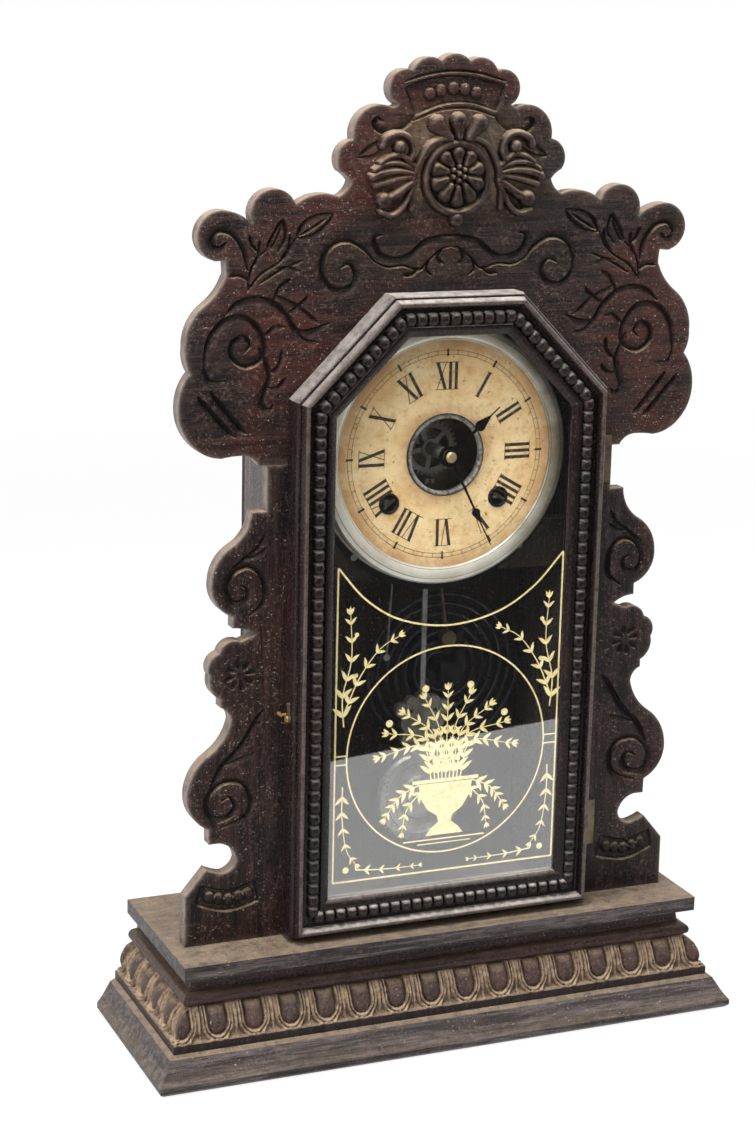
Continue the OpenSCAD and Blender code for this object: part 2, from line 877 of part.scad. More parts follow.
module back_plate() {
    color("#a8935a")
        difference() {
            plate_blank(back_plate_y);
            bar_y(centre, pivot + running_play, back_plate_y - 1, back_plate_back + 1);
        }
}

stud_radius = 1.1;
centre_staff = 1.5;
post_axis = verge_axis + [0, 7.2];

module movement_pillars() {
    color("#a8935a")
        for (p = pillar_places)
            union() {
                bar_y(p, 3.5, front_plate_back, back_plate_y);
                bar_y(p, pillar_neck, front_plate_y - 1.5, case_back_y + stud_depth);
                bar_y(p, 3, back_plate_back, case_back_y);
            }
}

// Going train
module great_wheel(p, phase) {
    union() {
        toothed(p, level(48.5), 2, great_teeth, coarse, phase, arbor_radius + running_play, 5, 5);
        difference() {
            bar_y(p, 6, level(50.5), level(51.5));
            bar_y(p, arbor_radius + running_play, level(50), level(52));
        }
        slab(level(46.4), 2.2)
            translate(p)
                rotate(phase)
                    polygon([[9, -1.2], [9.8, -2.3], [14, -2.3], [14, 2.3], [10, 2.3]]);
    }
}

module time_great_wheel() {
    color("#b39b5c")
        great_wheel(time_axis, great_phase);
}

module winding_arbor(p) {
    ratchet_teeth = 16;
    union() {
        bar_y(p, arbor_radius, front_plate_back + 0.3, back_plate_y - 0.3);
        bar_y(p, arbor_radius - 0.6, front_plate_y - 0.4, back_plate_back + 0.4);
        slab(pan_floor_y + 3, front_plate_y - pan_floor_y - 3.2)
            translate(p)
                square([3, 3], center = true);
        slab(level(46.4), 1.7)
            translate(p)
                polygon([for (i = [0 : ratchet_teeth - 1])
                    each [
                        8.2 * [cos(i * 22.5), sin(i * 22.5)],
                        6.9 * [cos(i * 22.5 + 2), sin(i * 22.5 + 2)]
                    ]]);
    }
}

module time_winding_arbor() {
    color("#7d7f82")
        winding_arbor(time_axis);
}

// Mainspring: a flat spiral whose straight outer end hooks on the nearest lower pillar
spring_sheet = 0.5;
spring_turns = 7;
spring_pitch = 2.7;
spring_start = arbor_radius + 0.1;
spring_reach = spring_start + spring_pitch * spring_turns;
spring_pillar = pillar_places[2] - time_axis;
spring_tail = sqrt(spring_pillar * spring_pillar - spring_reach * spring_reach);
spring_end = atan2(spring_pillar[1], spring_pillar[0]) - acos(spring_reach / norm(spring_pillar));
function spring_point(a, extra) =
    (spring_start + spring_pitch * a / 360 + extra) * [cos(a + spring_end), sin(a + spring_end)];
function tail_point(extra) =
    (spring_reach + extra) * [cos(spring_end), sin(spring_end)]
    + (spring_tail - 3.6) * [-sin(spring_end), cos(spring_end)];
module mainspring() {
    last = 360 * spring_turns;
    slab(level(52.4), 7)
        translate(time_axis)
            polygon(concat(
                [for (a = [0 : 20 : last]) spring_point(a, 0)],
                [tail_point(0), tail_point(spring_sheet)],
                [for (a = [last : -20 : 0]) spring_point(a, spring_sheet)]));
}

module mainsprings() {
    color("#4a5258")
        union() {
            mainspring();
            mirror([1, 0, 0])
                mainspring();
        }
}

module second_wheel() {
    color("#b39b5c")
        union() {
            staff_between(second_axis);
            toothed(second_axis, level(44.5), 1.5, second_teeth, coarse, second_phase, 0, 3.5, 4);
            toothed(second_axis, level(47), 5, second_leaves, coarse, 0, 0);
        }
}

module centre_wheel() {
    color("#b39b5c")
        union() {
            bar_y(centre, centre_staff, level(18), back_plate_y - 0.3);
            bar_y(centre, pivot, back_plate_y - 1, back_plate_back + 0.4);
            toothed(centre, level(40), 1.5, centre_teeth, fine, centre_phase, 0, 3, 4);
            toothed(centre, level(42.5), 4.5, centre_leaves, coarse, centre_leaf_phase, 0);
        }
}

module third_wheel() {
    color("#b39b5c")
        union() {
            staff_between(third_axis);
            toothed(third_axis, level(37), 1.5, third_teeth, fine, 0, 0, 2.5, 4);
            toothed(third_axis, level(39.5), 3.5, third_leaves, fine, third_leaf_phase, 0);
        }
}

escape_radius = 11;
module escape_wheel() {
    step = 360 / escape_teeth;
    color("#b39b5c")
        union() {
            staff_between(escape_axis);
            bar_y(escape_axis, pivot, level(29), front_plate_y);
            toothed(escape_axis, level(36), 3.5, escape_leaves, fine, escape_leaf_phase, 0);
            slab(level(29.5), 1.2)
                translate(escape_axis)
                    union() {
                        difference() {
                            polygon([for (i = [0 : escape_teeth - 1])
                                each [
                                    escape_radius * [cos(i * step), sin(i * step)],
                                    (escape_radius - 1.8) * [cos((i + 0.35) * step), sin((i + 0.35) * step)],
                                    (escape_radius - 1.8) * [cos((i + 0.8) * step), sin((i + 0.8) * step)]
                                ]]);
                            circle(escape_radius - 3.2);
                        }
                        circle(2.4);
                        for (i = [0 : 3])
                            rotate(i * 90)
                                translate([0, -0.6])
                                    square([escape_radius - 2.6, 1.2]);
                    }
        }
}

// Verge with the crutch that takes the pendulum rod between its two prongs
rod_half = 1.5;
rod_sheet = 1;
rod_y = level(23.5);
crutch_y = level(28);
crutch_wire = 0.6;
crutch_bar = 0.8;
crutch_drop = 28;
prong_x = rod_half + 0.3 + crutch_wire;
module verge() {
    inner = escape_radius + 0.8;
    color("#7d7f82")
        difference() {
            union() {
                slab(level(29.3), 1.8)
                    translate(escape_axis)
                        difference() {
                            circle(inner + 1.2);
                            circle(inner);
                            polygon([[0, 0], 40 * [cos(35), sin(35)], [40, -40], [-40, -40],
                                40 * [cos(145), sin(145)]]);
                        }
                bar_y(verge_axis, 2.4, level(27), level(31.6));
                translate([verge_axis[0], crutch_y, verge_axis[1] - crutch_drop])
                    cylinder(r = crutch_wire, h = crutch_drop - 1.8);
                bar_x([crutch_y, verge_axis[1] - crutch_drop], crutch_bar,
                    -prong_x - crutch_wire - 0.2, prong_x + crutch_wire + 0.2);
                for (s = [-1, 1])
                    bar_y([s * prong_x, verge_axis[1] - crutch_drop], crutch_wire,
                        rod_y - 1.5, crutch_y);
            }
            bar_y(verge_axis, stud_radius + running_play, level(26), level(32));
        }
}

// Studs on the front plate for the verge and the minute wheel, and the split post of the pendulum
module plate_studs() {
    color("#a8935a")
        union() {
            bar_y(verge_axis, stud_radius, level(26.4), front_plate_back);
            bar_y(verge_axis, 1.8, level(25.9), level(26.6));
            bar_y(minute_axis, stud_radius, level(20), front_plate_back);
            bar_y(minute_axis, 1.8, level(19.4), level(20.2));
            bar_y(minute_axis, 2.2, level(29.4), front_plate_y);
            bar_y(post_axis, stud_radius, front_plate_y - 1, front_plate_back);
            difference() {
                block([-3, level(21.5), post_axis[1] - 1.4], [3, front_plate_y, post_axis[1] + 1.4]);
                block([-0.8, level(21), post_axis[1] - 2], [0.8, level(26), post_axis[1] + 0.8]);
            }
        }
}

// Pendulum
bob_z = verge_axis[1] - pendulum_length;
module pendulum_rod() {
    color("#9a9a96")
        union() {
            block([-0.15, rod_y - 1.5, verge_axis[1] - 9], [0.15, rod_y + 1.5, post_axis[1] + 0.4]);
            block([-rod_half, rod_y - rod_sheet / 2, bob_z + 48],
                [rod_half, rod_y + rod_sheet / 2, verge_axis[1] - 7]);
            block([-1, rod_y - rod_sheet / 2, bob_z - bob_radius + 3],
                [1, rod_y + rod_sheet / 2, bob_z + 49]);
        }
}

bob_thickness = 6;
module pendulum_bob() {
    crest = bob_z + 46;
    color("#9c7f3c")
        difference() {
            union() {
                turned_y([0, bob_z])
                    polygon([
                        [0, rod_y - bob_thickness / 2], [bob_radius * 0.46, rod_y - bob_thickness / 2],
                        [bob_radius * 0.5, rod_y - bob_thickness / 2 + 1],
                        [bob_radius * 0.76, rod_y - bob_thickness / 2 + 1],
                        [bob_radius * 0.8, rod_y - bob_thickness / 2],
                        [bob_radius * 0.95, rod_y - bob_thickness / 2 + 0.6],
                        [bob_radius, rod_y - 0.6], [bob_radius, rod_y + 0.6],
                        [bob_radius * 0.8, rod_y + bob_thickness / 2],
                        [0, rod_y + bob_thickness / 2]
                    ]);
                bar_y([0, crest + 6], 7, rod_y - 2.4, rod_y + 2.4);
                bar_y([0, crest + 15], 4.5, rod_y - 2.4, rod_y + 2.4);
                for (s = [-1, 1]) {
                    bar_y([s * 8, crest + 1], 6, rod_y - 2.4, rod_y + 2.4);
                    bar_y([s * 13, crest + 9], 4.5, rod_y - 2.4, rod_y + 2.4);
                    bar_y([s * 7, crest + 13], 4, rod_y - 2.4, rod_y + 2.4);
                    bar_y([s * 7, crest - 9], 6.5, rod_y - 2.4, rod_y + 2.4);
                }
                block([-7, rod_y - 2.4, bob_z + bob_radius - 3], [7, rod_y + 2.4, crest + 2]);
            }
            block([-rod_half - 0.06, rod_y - rod_sheet / 2 - 0.06, bob_z + 47.9],
                [rod_half + 0.06, rod_y + rod_sheet / 2 + 0.06, crest + 40]);
            block([-1.06, rod_y - rod_sheet / 2 - 0.06, bob_z - bob_radius + 2.9],
                [1.06, rod_y + rod_sheet / 2 + 0.06, bob_z + 60]);
        }
}

// Motion work and hands
cannon_outer = 2.6;
hour_pipe_inner = cannon_outer + 0.1;
hour_pipe_outer = 3.8;
hour_hand_y = face_y - 4.6;
minute_hand_y = face_y - 7.2;
hand_sheet = 0.6;
hour_hand_bore = hour_pipe_outer + 0.02;

module cannon_pinion() {
    color("#a8935a")
        difference() {
            union() {
                bar_y(centre, cannon_outer, minute_hand_y + hand_sheet + 0.1, level(26));
                bar_y(centre, 2, minute_hand_y, minute_hand_y + 1);
                toothed(centre, level(25.8), 3.2, cannon_teeth, 1, 0, 0);
            }
            bar_y(centre, centre_staff + running_play, level(17), level(32));
        }
}

module hour_wheel() {
    color("#8f8b7c")
        difference() {
            union() {
                toothed(centre, level(22), 1.6, hour_teeth, 1, hour_phase, hour_pipe_inner, 3, 5);
                bar_y(centre, hour_pipe_outer, hour_hand_y - 0.3, level(22.2));
                bar_y(centre, 5.6, level(20.6), level(23.6));
            }
            bar_y(centre, hour_pipe_inner, hour_hand_y - 2, level(25));
        }
}

module minute_wheel() {
    color("#b39b5c")
        difference() {
            union() {
                toothed(minute_axis, level(26.4), 1.6, minute_teeth, 1, minute_phase, 0, 3, 4);
                toothed(minute_axis, level(20.6), 6.2, minute_leaves, 1, 0, 0);
                bar_y(minute_axis, 2.2, level(27), level(29));
            }
            bar_y(minute_axis, stud_radius + running_play, level(20), level(30));
        }
}

// A hand drawn upright: hub, thin blade and a leaf with a drawn-out tip
module hand_shape(length, leaf_at, leaf_r, hub, bore, blade) {
    difference() {
        union() {
            circle(hub);
            polygon([[-blade, 0], [blade, 0], [blade * 0.6, leaf_at], [-blade * 0.6, leaf_at]]);
            translate([0, leaf_at])
                circle(leaf_r);
            polygon([[-leaf_r * 0.86, leaf_at + leaf_r * 0.5], [leaf_r * 0.86, leaf_at + leaf_r * 0.5],
                [0.35, leaf_at + leaf_r * 2.6], [0.3, length], [-0.3, length],
                [-0.35, leaf_at + leaf_r * 2.6]]);
        }
        circle(bore);
    }
}

module hour_hand() {
    color("#1d1b1a")
        slab(hour_hand_y, hand_sheet)
            translate(centre)
                rotate(-hour_hand_angle)
                    hand_shape(hour_hand_length, hour_hand_length * 0.62, 3.2, 6, hour_hand_bore, 1.2);
}

module minute_hand() {
    color("#1d1b1a")
        slab(minute_hand_y, hand_sheet)
            translate(centre)
                rotate(-minute_hand_angle)
                    hand_shape(minute_hand_length, minute_hand_length * 0.63, 2.5, 4.4, 2.02, 0.9);
}

module hand_nut() {
    color("#b59a55")
        turned_y(centre)
            polygon([[0, minute_hand_y - 2.4], [2.4, minute_hand_y - 2], [3.2, minute_hand_y - 1],
                [3.2, minute_hand_y], [0, minute_hand_y]]);
}

// Strike train
module strike_great_wheel() {
    color("#b39b5c")
        great_wheel(strike_axis, strike_phase);
}

module strike_winding_arbor() {
    color("#7d7f82")
        winding_arbor(strike_axis);
}

module lifting_wheel() {
    color("#b39b5c")
        union() {
            staff_between(lifting_axis);
            toothed(lifting_axis, level(44.5), 1.5, lifting_teeth, coarse, 0, 0, 3, 4);
            toothed(lifting_axis, level(47), 5, second_leaves, coarse, 0, 0);
            for (i = [0 : 7])
                bar_y(lifting_axis + 13.4 * [cos(i * 45 + 22.5), sin(i * 45 + 22.5)],
                    0.6, level(42.6), level(45));
        }
}

module fly() {
    color("#b39b5c")
        union() {
            staff_between(fly_axis);
            toothed(fly_axis, level(44), 3, fly_leaves, coarse, fly_phase, 0);
            slab(level(49), 8)
                translate(fly_axis)
                    translate([-10, -0.3])
                        square([20, 0.6]);
        }
}

// Hammer of the gong and the wire that trips the strike by hand
gong_centre = [24, base_height + 137];
hammer_head = [24, base_height + 158];
hammer_head_radius = 4.6;
hammer_wire = 1;
function spoke_turn(p, q) = atan2(q[0] - p[0], q[1] - p[1]);
module wire_xz(p, q, y, r) {
    translate([p[0], y, p[1]])
        rotate([0, spoke_turn(p, q), 0])
            cylinder(r = r, h = norm(q - p));
}

module gong_hammer() {
    color("#a8935a")
        union() {
            staff_between(hammer_axis);
            wire_xz(hammer_axis, hammer_head, gong_y - 7, hammer_wire);
            bar_y(hammer_head, hammer_head_radius, gong_y - 10.4, gong_y - 3.6);
        }
}

trip_end = [-18, base_height + 151];
module trip_wire() {
    color("#6f6a5c")
        union() {
            staff_between(trip_axis);
            wire_xz(trip_axis, trip_end, level(36.5), 0.7);
            bar_y(trip_end, 2, level(35.8), level(37.2));
        }
}

// Gong: a flat coil whose inner end bends back into the stand
gong_y = case_back_y - 22;
gong_start = 9;
gong_bend = 5;
gong_tail = 8;
gong_pitch = (gong_radius - gong_start) / gong_turns;
wire_sides = 6;
ring_step = 15;
coil_rings = gong_turns * 360 / ring_step;
bend_rings = 6;
function ring_of(p, u, v) =
    [for (k = [0 : wire_sides - 1])
        p + gong_wire / 2 * (cos(k * 60) * u + sin(k * 60) * v)];
inner_end = [gong_centre[0] + gong_start, gong_y, gong_centre[1]];
tail_place = [inner_end[0], inner_end[2] - gong_bend];
function bend_ring(b) =
    ring_of(inner_end + [0, gong_bend * (1 - sin(b)), -gong_bend * cos(b)],
        [1, 0, 0], [0, sin(b), cos(b)]);
function coil_ring(a) =
    let (r = gong_start + gong_pitch * a / 360)
    ring_of([gong_centre[0] + r * cos(a), gong_y, gong_centre[1] + r * sin(a)],
        [cos(a), 0, sin(a)], [0, 1, 0]);
tail_ring = ring_of(inner_end + [0, gong_bend + gong_tail, -gong_bend], [1, 0, 0], [0, 0, 1]);
gong_rings = concat(
    [tail_ring],
    [for (i = [0 : bend_rings - 1]) bend_ring(90 * i / bend_rings)],
    [for (i = [0 : coil_rings]) coil_ring(i * ring_step)]
);
gong_last = len(gong_rings) - 1;

// Least distance between ring centres that lie at least half a turn apart
function middle(ring) = (ring[0] + ring[3]) / 2;
gong_middles = [for (r = gong_rings) middle(r)];
gong_gap = min([for (i = [0 : gong_last]) for (j = [i + 12 : 1 : gong_last])
    norm(gong_middles[i] - gong_middles[j])]);

module gong_coil() {
    faces = concat(
        [for (i = [0 : gong_last - 1]) for (k = [0 : wire_sides - 1])
            let (a = i * wire_sides + k, b = i * wire_sides + (k + 1) % wire_sides)
            each [[a, a + wire_sides, b], [b, a + wire_sides, b + wire_sides]]],
        [for (k = [1 : wire_sides - 2]) [0, k, k + 1]],
        [for (k = [1 : wire_sides - 2])
            [gong_last * wire_sides, gong_last * wire_sides + k + 1, gong_last * wire_sides + k]]
    );
    echo("least gap of the gong to itself", gong_gap - gong_wire);
    color("#4d5560")
        polyhedron(points = [for (r = gong_rings) each r], faces = faces);
}

ear_x = hammer_head[0] + hammer_head_radius + hammer_gap;
gong_screw_places = [gong_centre + [-6, -11], gong_centre + [-6, 11], gong_centre + [14, 8]];
module gong_stand() {
    foot_y = case_back_y - 12;
    color("#3a3c3e")
        difference() {
            union() {
                block([gong_centre[0] - 12, foot_y, gong_centre[1] - 16],
                    [gong_centre[0] + 20, case_back_y, gong_centre[1] + 16]);
                bar_y(gong_centre, 5.2, gong_y - 6, foot_y + 1);
                block([gong_centre[0] - 5, gong_y - 10, gong_centre[1] - 6],
                    [ear_x + 5, gong_y - 4, gong_centre[1] + 6]);
                block([ear_x, gong_y - 10, gong_centre[1] - 6],
                    [ear_x + 5, gong_y - 4, hammer_head[1] + 5]);
            }
            bar_y(tail_place, gong_wire / 2 + running_play, foot_y - 1, foot_y + 8);
            for (p = gong_screw_places)
                bar_y(p, screw_radius + running_play, foot_y - 1, case_back_y + 1);
        }
}

base_box();
foot_moulding();
egg_band();
bead_moulding();
base_plate();
front_top_board();
front_left_board();
front_right_board();
front_bottom_rail();
crown_rosette();
case_side_left();
case_side_right();
case_top();
back_board();
dial_blocks();
dial_pan();
dial_paper();
dial_eyelets();
wood_screws();
door_bottom_rail();
door_right_stile();
door_right_diagonal();
door_top_rail();
door_left_diagonal();
door_left_stile();
door_glass();
glass_strips();
door_hinge_leaves();
case_hinge_leaves();
catch_hook();
catch_screw();
catch_eye();
hour_hand();
minute_hand();
hand_nut();
hour_wheel();
minute_wheel();
cannon_pinion();
front_plate();
back_plate();
movement_pillars();
plate_studs();
time_great_wheel();
time_winding_arbor();
mainsprings();
second_wheel();
centre_wheel();
third_wheel();
escape_wheel();
verge();
pendulum_rod();
pendulum_bob();
strike_great_wheel();
strike_winding_arbor();
lifting_wheel();
fly();
gong_hammer();
trip_wire();
gong_stand();
gong_coil();
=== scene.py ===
"""Looks of the kitchen clock: carved boards, mouldings, printing, materials and a plain studio."""

import math

import bmesh
import bpy
import numpy as np
from mathutils import Matrix, Vector
from mathutils.geometry import delaunay_2d_cdt

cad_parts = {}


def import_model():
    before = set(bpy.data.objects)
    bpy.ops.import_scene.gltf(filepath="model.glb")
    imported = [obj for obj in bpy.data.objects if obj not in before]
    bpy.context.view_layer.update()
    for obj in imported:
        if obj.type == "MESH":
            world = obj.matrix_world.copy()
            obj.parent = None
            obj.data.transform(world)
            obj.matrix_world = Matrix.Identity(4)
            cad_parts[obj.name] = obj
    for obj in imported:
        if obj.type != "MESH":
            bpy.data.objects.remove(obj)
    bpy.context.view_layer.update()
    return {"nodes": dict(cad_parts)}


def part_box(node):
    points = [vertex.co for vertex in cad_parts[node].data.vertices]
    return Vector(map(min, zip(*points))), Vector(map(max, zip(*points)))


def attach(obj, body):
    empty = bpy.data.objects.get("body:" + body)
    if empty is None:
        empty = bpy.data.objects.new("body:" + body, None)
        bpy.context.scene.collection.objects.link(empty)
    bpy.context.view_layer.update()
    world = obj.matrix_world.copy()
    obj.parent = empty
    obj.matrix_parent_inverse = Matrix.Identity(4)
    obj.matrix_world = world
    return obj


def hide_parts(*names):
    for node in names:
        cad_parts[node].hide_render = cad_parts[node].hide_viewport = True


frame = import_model()
nodes = frame["nodes"]

# Places in millimetres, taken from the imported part
MM = 0.001
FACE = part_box("front_bottom_rail")[0].y / MM
BOARD_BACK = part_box("front_bottom_rail")[1].y / MM
BASE_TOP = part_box("base_plate")[1].z / MM
BACK_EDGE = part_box("base_plate")[1].y / MM
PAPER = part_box("dial_paper")[0].y / MM
DIAL_X = 0.0
DIAL_Z = (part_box("dial_paper")[0].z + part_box("dial_paper")[1].z) / 2 / MM
GLASS_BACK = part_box("door_glass")[1].y / MM


def named_object(name, mesh):
    made = bpy.data.objects.new(name, mesh)
    bpy.context.scene.collection.objects.link(made)
    return made


def piece(name, points, faces, material, body="case", replaces=(), marks=None, sharp=40, closed=True):
    """Makes one piece from points in millimetres, and lets it ride on a body of the part."""
    mesh = bpy.data.meshes.new(name)
    mesh.from_pydata((np.asarray(points, float) * MM).tolist(), [], faces)
    mesh.update()
    for mark, values in (marks or {}).items():
        layer = mesh.attributes.new(mark, "FLOAT", "POINT")
        layer.data.foreach_set("value", np.asarray(values, np.float32))
    if closed:
        work = bmesh.new()
        work.from_mesh(mesh)
        bmesh.ops.remove_doubles(work, verts=work.verts, dist=1e-7)
        bmesh.ops.recalc_face_normals(work, faces=work.faces)
        work.to_mesh(mesh)
        work.free()
    mesh.shade_smooth()
    mesh.set_sharp_from_angle(angle=math.radians(sharp))
    mesh.materials.append(material)
    made = named_object(name, mesh)
    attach(made, body)
    if replaces:
        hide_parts(*replaces)
    return made


# Materials

class Nodes:
    """Short ways to add nodes to a tree, with a value or a link for each of their inputs."""

    def __init__(self, tree):
        self.tree = tree

    def put(self, socket, value):
        if isinstance(value, bpy.types.NodeSocket):
            self.tree.links.new(value, socket)
        else:
            socket.default_value = value

    def node(self, kind, inputs=None, **settings):
        made = self.tree.nodes.new(kind)
        for key, value in settings.items():
            setattr(made, key, value)
        for key, value in (inputs or {}).items():
            self.put(made.inputs[key], value)
        return made

    def noise(self, stretch, detail=4.0, rough=0.55, twist=0.0):
        """Noise with this many cells to a metre: one number, or one for each axis."""
        scale = stretch if isinstance(stretch, tuple) else (stretch,) * 3
        place = self.node("ShaderNodeMapping", {"Vector": self.place, "Scale": scale}).outputs[0]
        return self.node("ShaderNodeTexNoise", {"Vector": place, "Scale": 1.0, "Detail": detail,
                                                "Roughness": rough, "Distortion": twist}).outputs[0]

    def span(self, value, low, high, to_low=0.0, to_high=1.0):
        return self.node("ShaderNodeMapRange", {"Value": value, "From Min": low, "From Max": high,
                                                "To Min": to_low, "To Max": to_high},
                         interpolation_type="SMOOTHSTEP").outputs[0]

    def maths(self, kind, a, b=0.0):
        return self.node("ShaderNodeMath", {0: a, 1: b}, operation=kind).outputs[0]

    def times(self, a, b):
        return self.maths("MULTIPLY", a, b)

    def plus(self, a, b):
        return self.maths("ADD", a, b)

    def mix(self, share, a, b):
        return self.node("ShaderNodeMix", {"Factor": share, 6: a, 7: b}, data_type="RGBA").outputs[2]

    def mark(self, name):
        return self.node("ShaderNodeAttribute", attribute_name=name).outputs["Fac"]

    def length(self, vector):
        return self.node("ShaderNodeVectorMath", {0: vector}, operation="LENGTH").outputs["Value"]

    def facing_up(self):
        normal = self.node("ShaderNodeNewGeometry").outputs["Normal"]
        return self.node("ShaderNodeSeparateXYZ", {0: normal}).outputs["Z"]

    def seen(self):
        """1 for what the camera sees, mirrored and through glass too, and 0 for light on its way to things."""
        path = self.node("ShaderNodeLightPath").outputs
        straight = self.maths("MAXIMUM", path["Is Camera Ray"], path["Is Glossy Ray"])
        return self.maths("MAXIMUM", straight, path["Is Transmission Ray"])


class Graph(Nodes):
    """A node material under construction."""

    def __init__(self, name):
        self.material = bpy.data.materials.new(name)
        self.material.use_nodes = True
        super().__init__(self.material.node_tree)
        self.tree.nodes.clear()
        self.place = self.node("ShaderNodeTexCoord").outputs["Object"]
        self.shader = self.node("ShaderNodeBsdfPrincipled")
        self.out = self.node("ShaderNodeOutputMaterial", {"Surface": self.shader.outputs[0]})

    def bump(self, height, strength, distance):
        made = self.node("ShaderNodeBump", {"Strength": strength, "Distance": distance, "Height": height})
        self.put(self.shader.inputs["Normal"], made.outputs[0])

    def surface(self, base, rough, **more):
        """Colour and roughness of the surface, and more of the shader's sockets by their names."""
        sockets = {"Base Color": base, "Roughness": rough, **more}
        for name, value in sockets.items():
            self.put(self.shader.inputs[name.replace("_", " ")], value)
        return self.material

    def give_way(self, share, other):
        """Lets another shader take the surface's place by this share."""
        both = self.node("ShaderNodeMixShader", {0: share, 1: self.shader.outputs[0], 2: other.outputs[0]})
        self.put(self.out.inputs["Surface"], both.outputs[0])


def rgb(red, green, blue):
    """Colour from its screen values, 0 to 255."""
    def linear(level):
        level = level / 255
        return level / 12.92 if level <= 0.04045 else ((level + 0.055) / 1.055) ** 2.4
    return (linear(red), linear(green), linear(blue), 1.0)


DUST = rgb(168, 146, 120)
# Pale tone for edges and crests: wear, and a painted highlight
WORN_AND_HIGHLIGHT = rgb(134, 120, 112)
# Pale grey for the door moulding's upward faces: dust, and a painted sheen of the top light
PALE_DUST_AND_SHEEN = rgb(186, 177, 170)
# Share of the noise's cells that is left each way, with the grain running along one of them
ALONG = {"x": (0.06, 1.0, 1.0), "z": (1.0, 1.0, 0.06)}
# Radii on the dial pan in metres: the creases of its band, where painted shade lies, and where the flange begins
# that is painted black as shade
PAN_CREASES = (0.0668, 0.0722, 0.0748)
PAN_FLANGE = (0.0758, 0.0772)


def stretched(axis, amount):
    """Cells of the noise to a metre for each axis, fewer along the grain."""
    return tuple(amount * share for share in ALONG[axis])


def old_wood(name, dark, warm, grain="z", red_patch=0.0, dust=0.6, gloss=0.34, coarse=1.0, dust_and_sheen_colour=DUST):
    """Stained and varnished wood: fibres, crackled varnish, pale specks, painted shade in hollows, edges lighter
    for wear and a painted highlight, and dust on what faces up and on marked places, which on the door's
    moulding and the egg band's rims is also a painted sheen.
    """
    g = Graph(name)
    fibre = g.noise(stretched(grain, 1500), 4, 0.65, 0.5)
    streak = g.noise(stretched(grain, 260), 5, 0.65, 0.6)
    cloud = g.noise(15, 4, 0.6)
    crackle = g.noise(560, 4, 0.75)
    base = g.mix(g.span(streak, 0.38, 0.66), dark, warm)
    base = g.mix(g.span(fibre, 0.42, 0.66, 0.0, 0.8), base, rgb(16, 13, 13))
    if red_patch:
        tinted = g.times(g.span(cloud, 0.42, 0.62), g.span(streak, 0.35, 0.6, 0.3, 1.0))
        base = g.mix(g.times(tinted, red_patch), base, rgb(64, 30, 22))
    pale = g.times(g.span(crackle, 0.53, 0.63), g.span(g.noise(60, 5, 0.7), 0.36, 0.64))
    base = g.mix(g.times(pale, 0.5 * coarse), base, rgb(112, 93, 83))
    speck = g.times(g.span(g.noise(760, 2, 0.6), 0.66, 0.72), g.span(cloud, 0.35, 0.6))
    base = g.mix(g.times(speck, 0.45 * coarse), base, rgb(200, 190, 182))
    # Edges and crests are lighter: partly wear, partly a painted highlight
    base = g.mix(g.times(g.mark("edge"), g.span(g.noise(140, 4, 0.7), 0.28, 0.6, 0.3, 0.95)), base, WORN_AND_HIGHLIGHT)
    # Painted shade: cuts, creases and hollows that this mark picks out are darkened to near black
    base = g.mix(g.times(g.mark("painted_shade"), 0.82), base, rgb(15, 12, 12))
    # Dust on what faces up and on marked places; with the door moulding's pale grey it is also a painted sheen
    # of the top light, and on the egg band's rims it is partly a painted highlight
    patchy = g.span(g.noise(150, 8, 0.85), 0.34, 0.62, 0.3, 1.0)
    up_dust_and_sheen = g.times(g.times(g.span(g.facing_up(), 0.4, 0.95), patchy), dust)
    marked_dust_and_highlight = g.times(g.mark("dust_and_highlight"), g.span(g.noise(260, 5, 0.75), 0.35, 0.6, 0.3, 1.0))
    dust_and_sheen = g.maths("MINIMUM", g.plus(up_dust_and_sheen, marked_dust_and_highlight), 0.92)
    sheen = g.span(crackle, 0.3, 0.7, gloss - 0.1, gloss + 0.16)
    height = g.plus(g.plus(g.times(fibre, 0.5), g.times(crackle, 0.55)), g.times(streak, 0.4))
    g.bump(height, 1.0, 0.0011 * coarse)
    return g.surface(g.mix(dust_and_sheen, base, dust_and_sheen_colour), g.maths("MINIMUM", g.plus(sheen, g.times(dust_and_sheen, 0.5)), 0.95),
                     Specular_IOR_Level=0.2)


def old_metal(name, bright, dull, roughness, spots=0.5, metallic=1.0):
    """Metal with tarnish, fine scratches and some spots; a dull film makes it less metallic."""
    g = Graph(name)
    tarnish = g.noise(70, 6, 0.65)
    base = g.mix(g.span(tarnish, 0.35, 0.7), bright, dull)
    base = g.mix(g.times(g.span(g.noise(650, 3, 0.7), 0.6, 0.75), spots), base, rgb(58, 48, 38))
    g.bump(g.noise(stretched("x", 2400), 3, 0.6), 0.12, 0.0002)
    return g.surface(base, g.span(tarnish, 0.3, 0.75, roughness - 0.08, roughness + 0.2), Metallic=metallic)


def from_dial_centre(g):
    """Distance from the dial's centre, in metres."""
    offset = g.node("ShaderNodeVectorMath", {0: g.place, 1: (DIAL_X * MM, PAPER * MM, DIAL_Z * MM)},
                    operation="SUBTRACT")
    return g.length(offset.outputs[0])


def eyelets():
    """Bright ring round the dial's centre, black rings at the winding holes."""
    g = Graph("eyelet_metal")
    dimmed = g.mix(g.span(g.noise(500, 4, 0.7), 0.4, 0.65), rgb(186, 184, 178), rgb(104, 98, 90))
    return g.surface(g.mix(g.span(from_dial_centre(g), 0.022, 0.024), dimmed, rgb(24, 20, 18)), 0.4, Metallic=0.5)


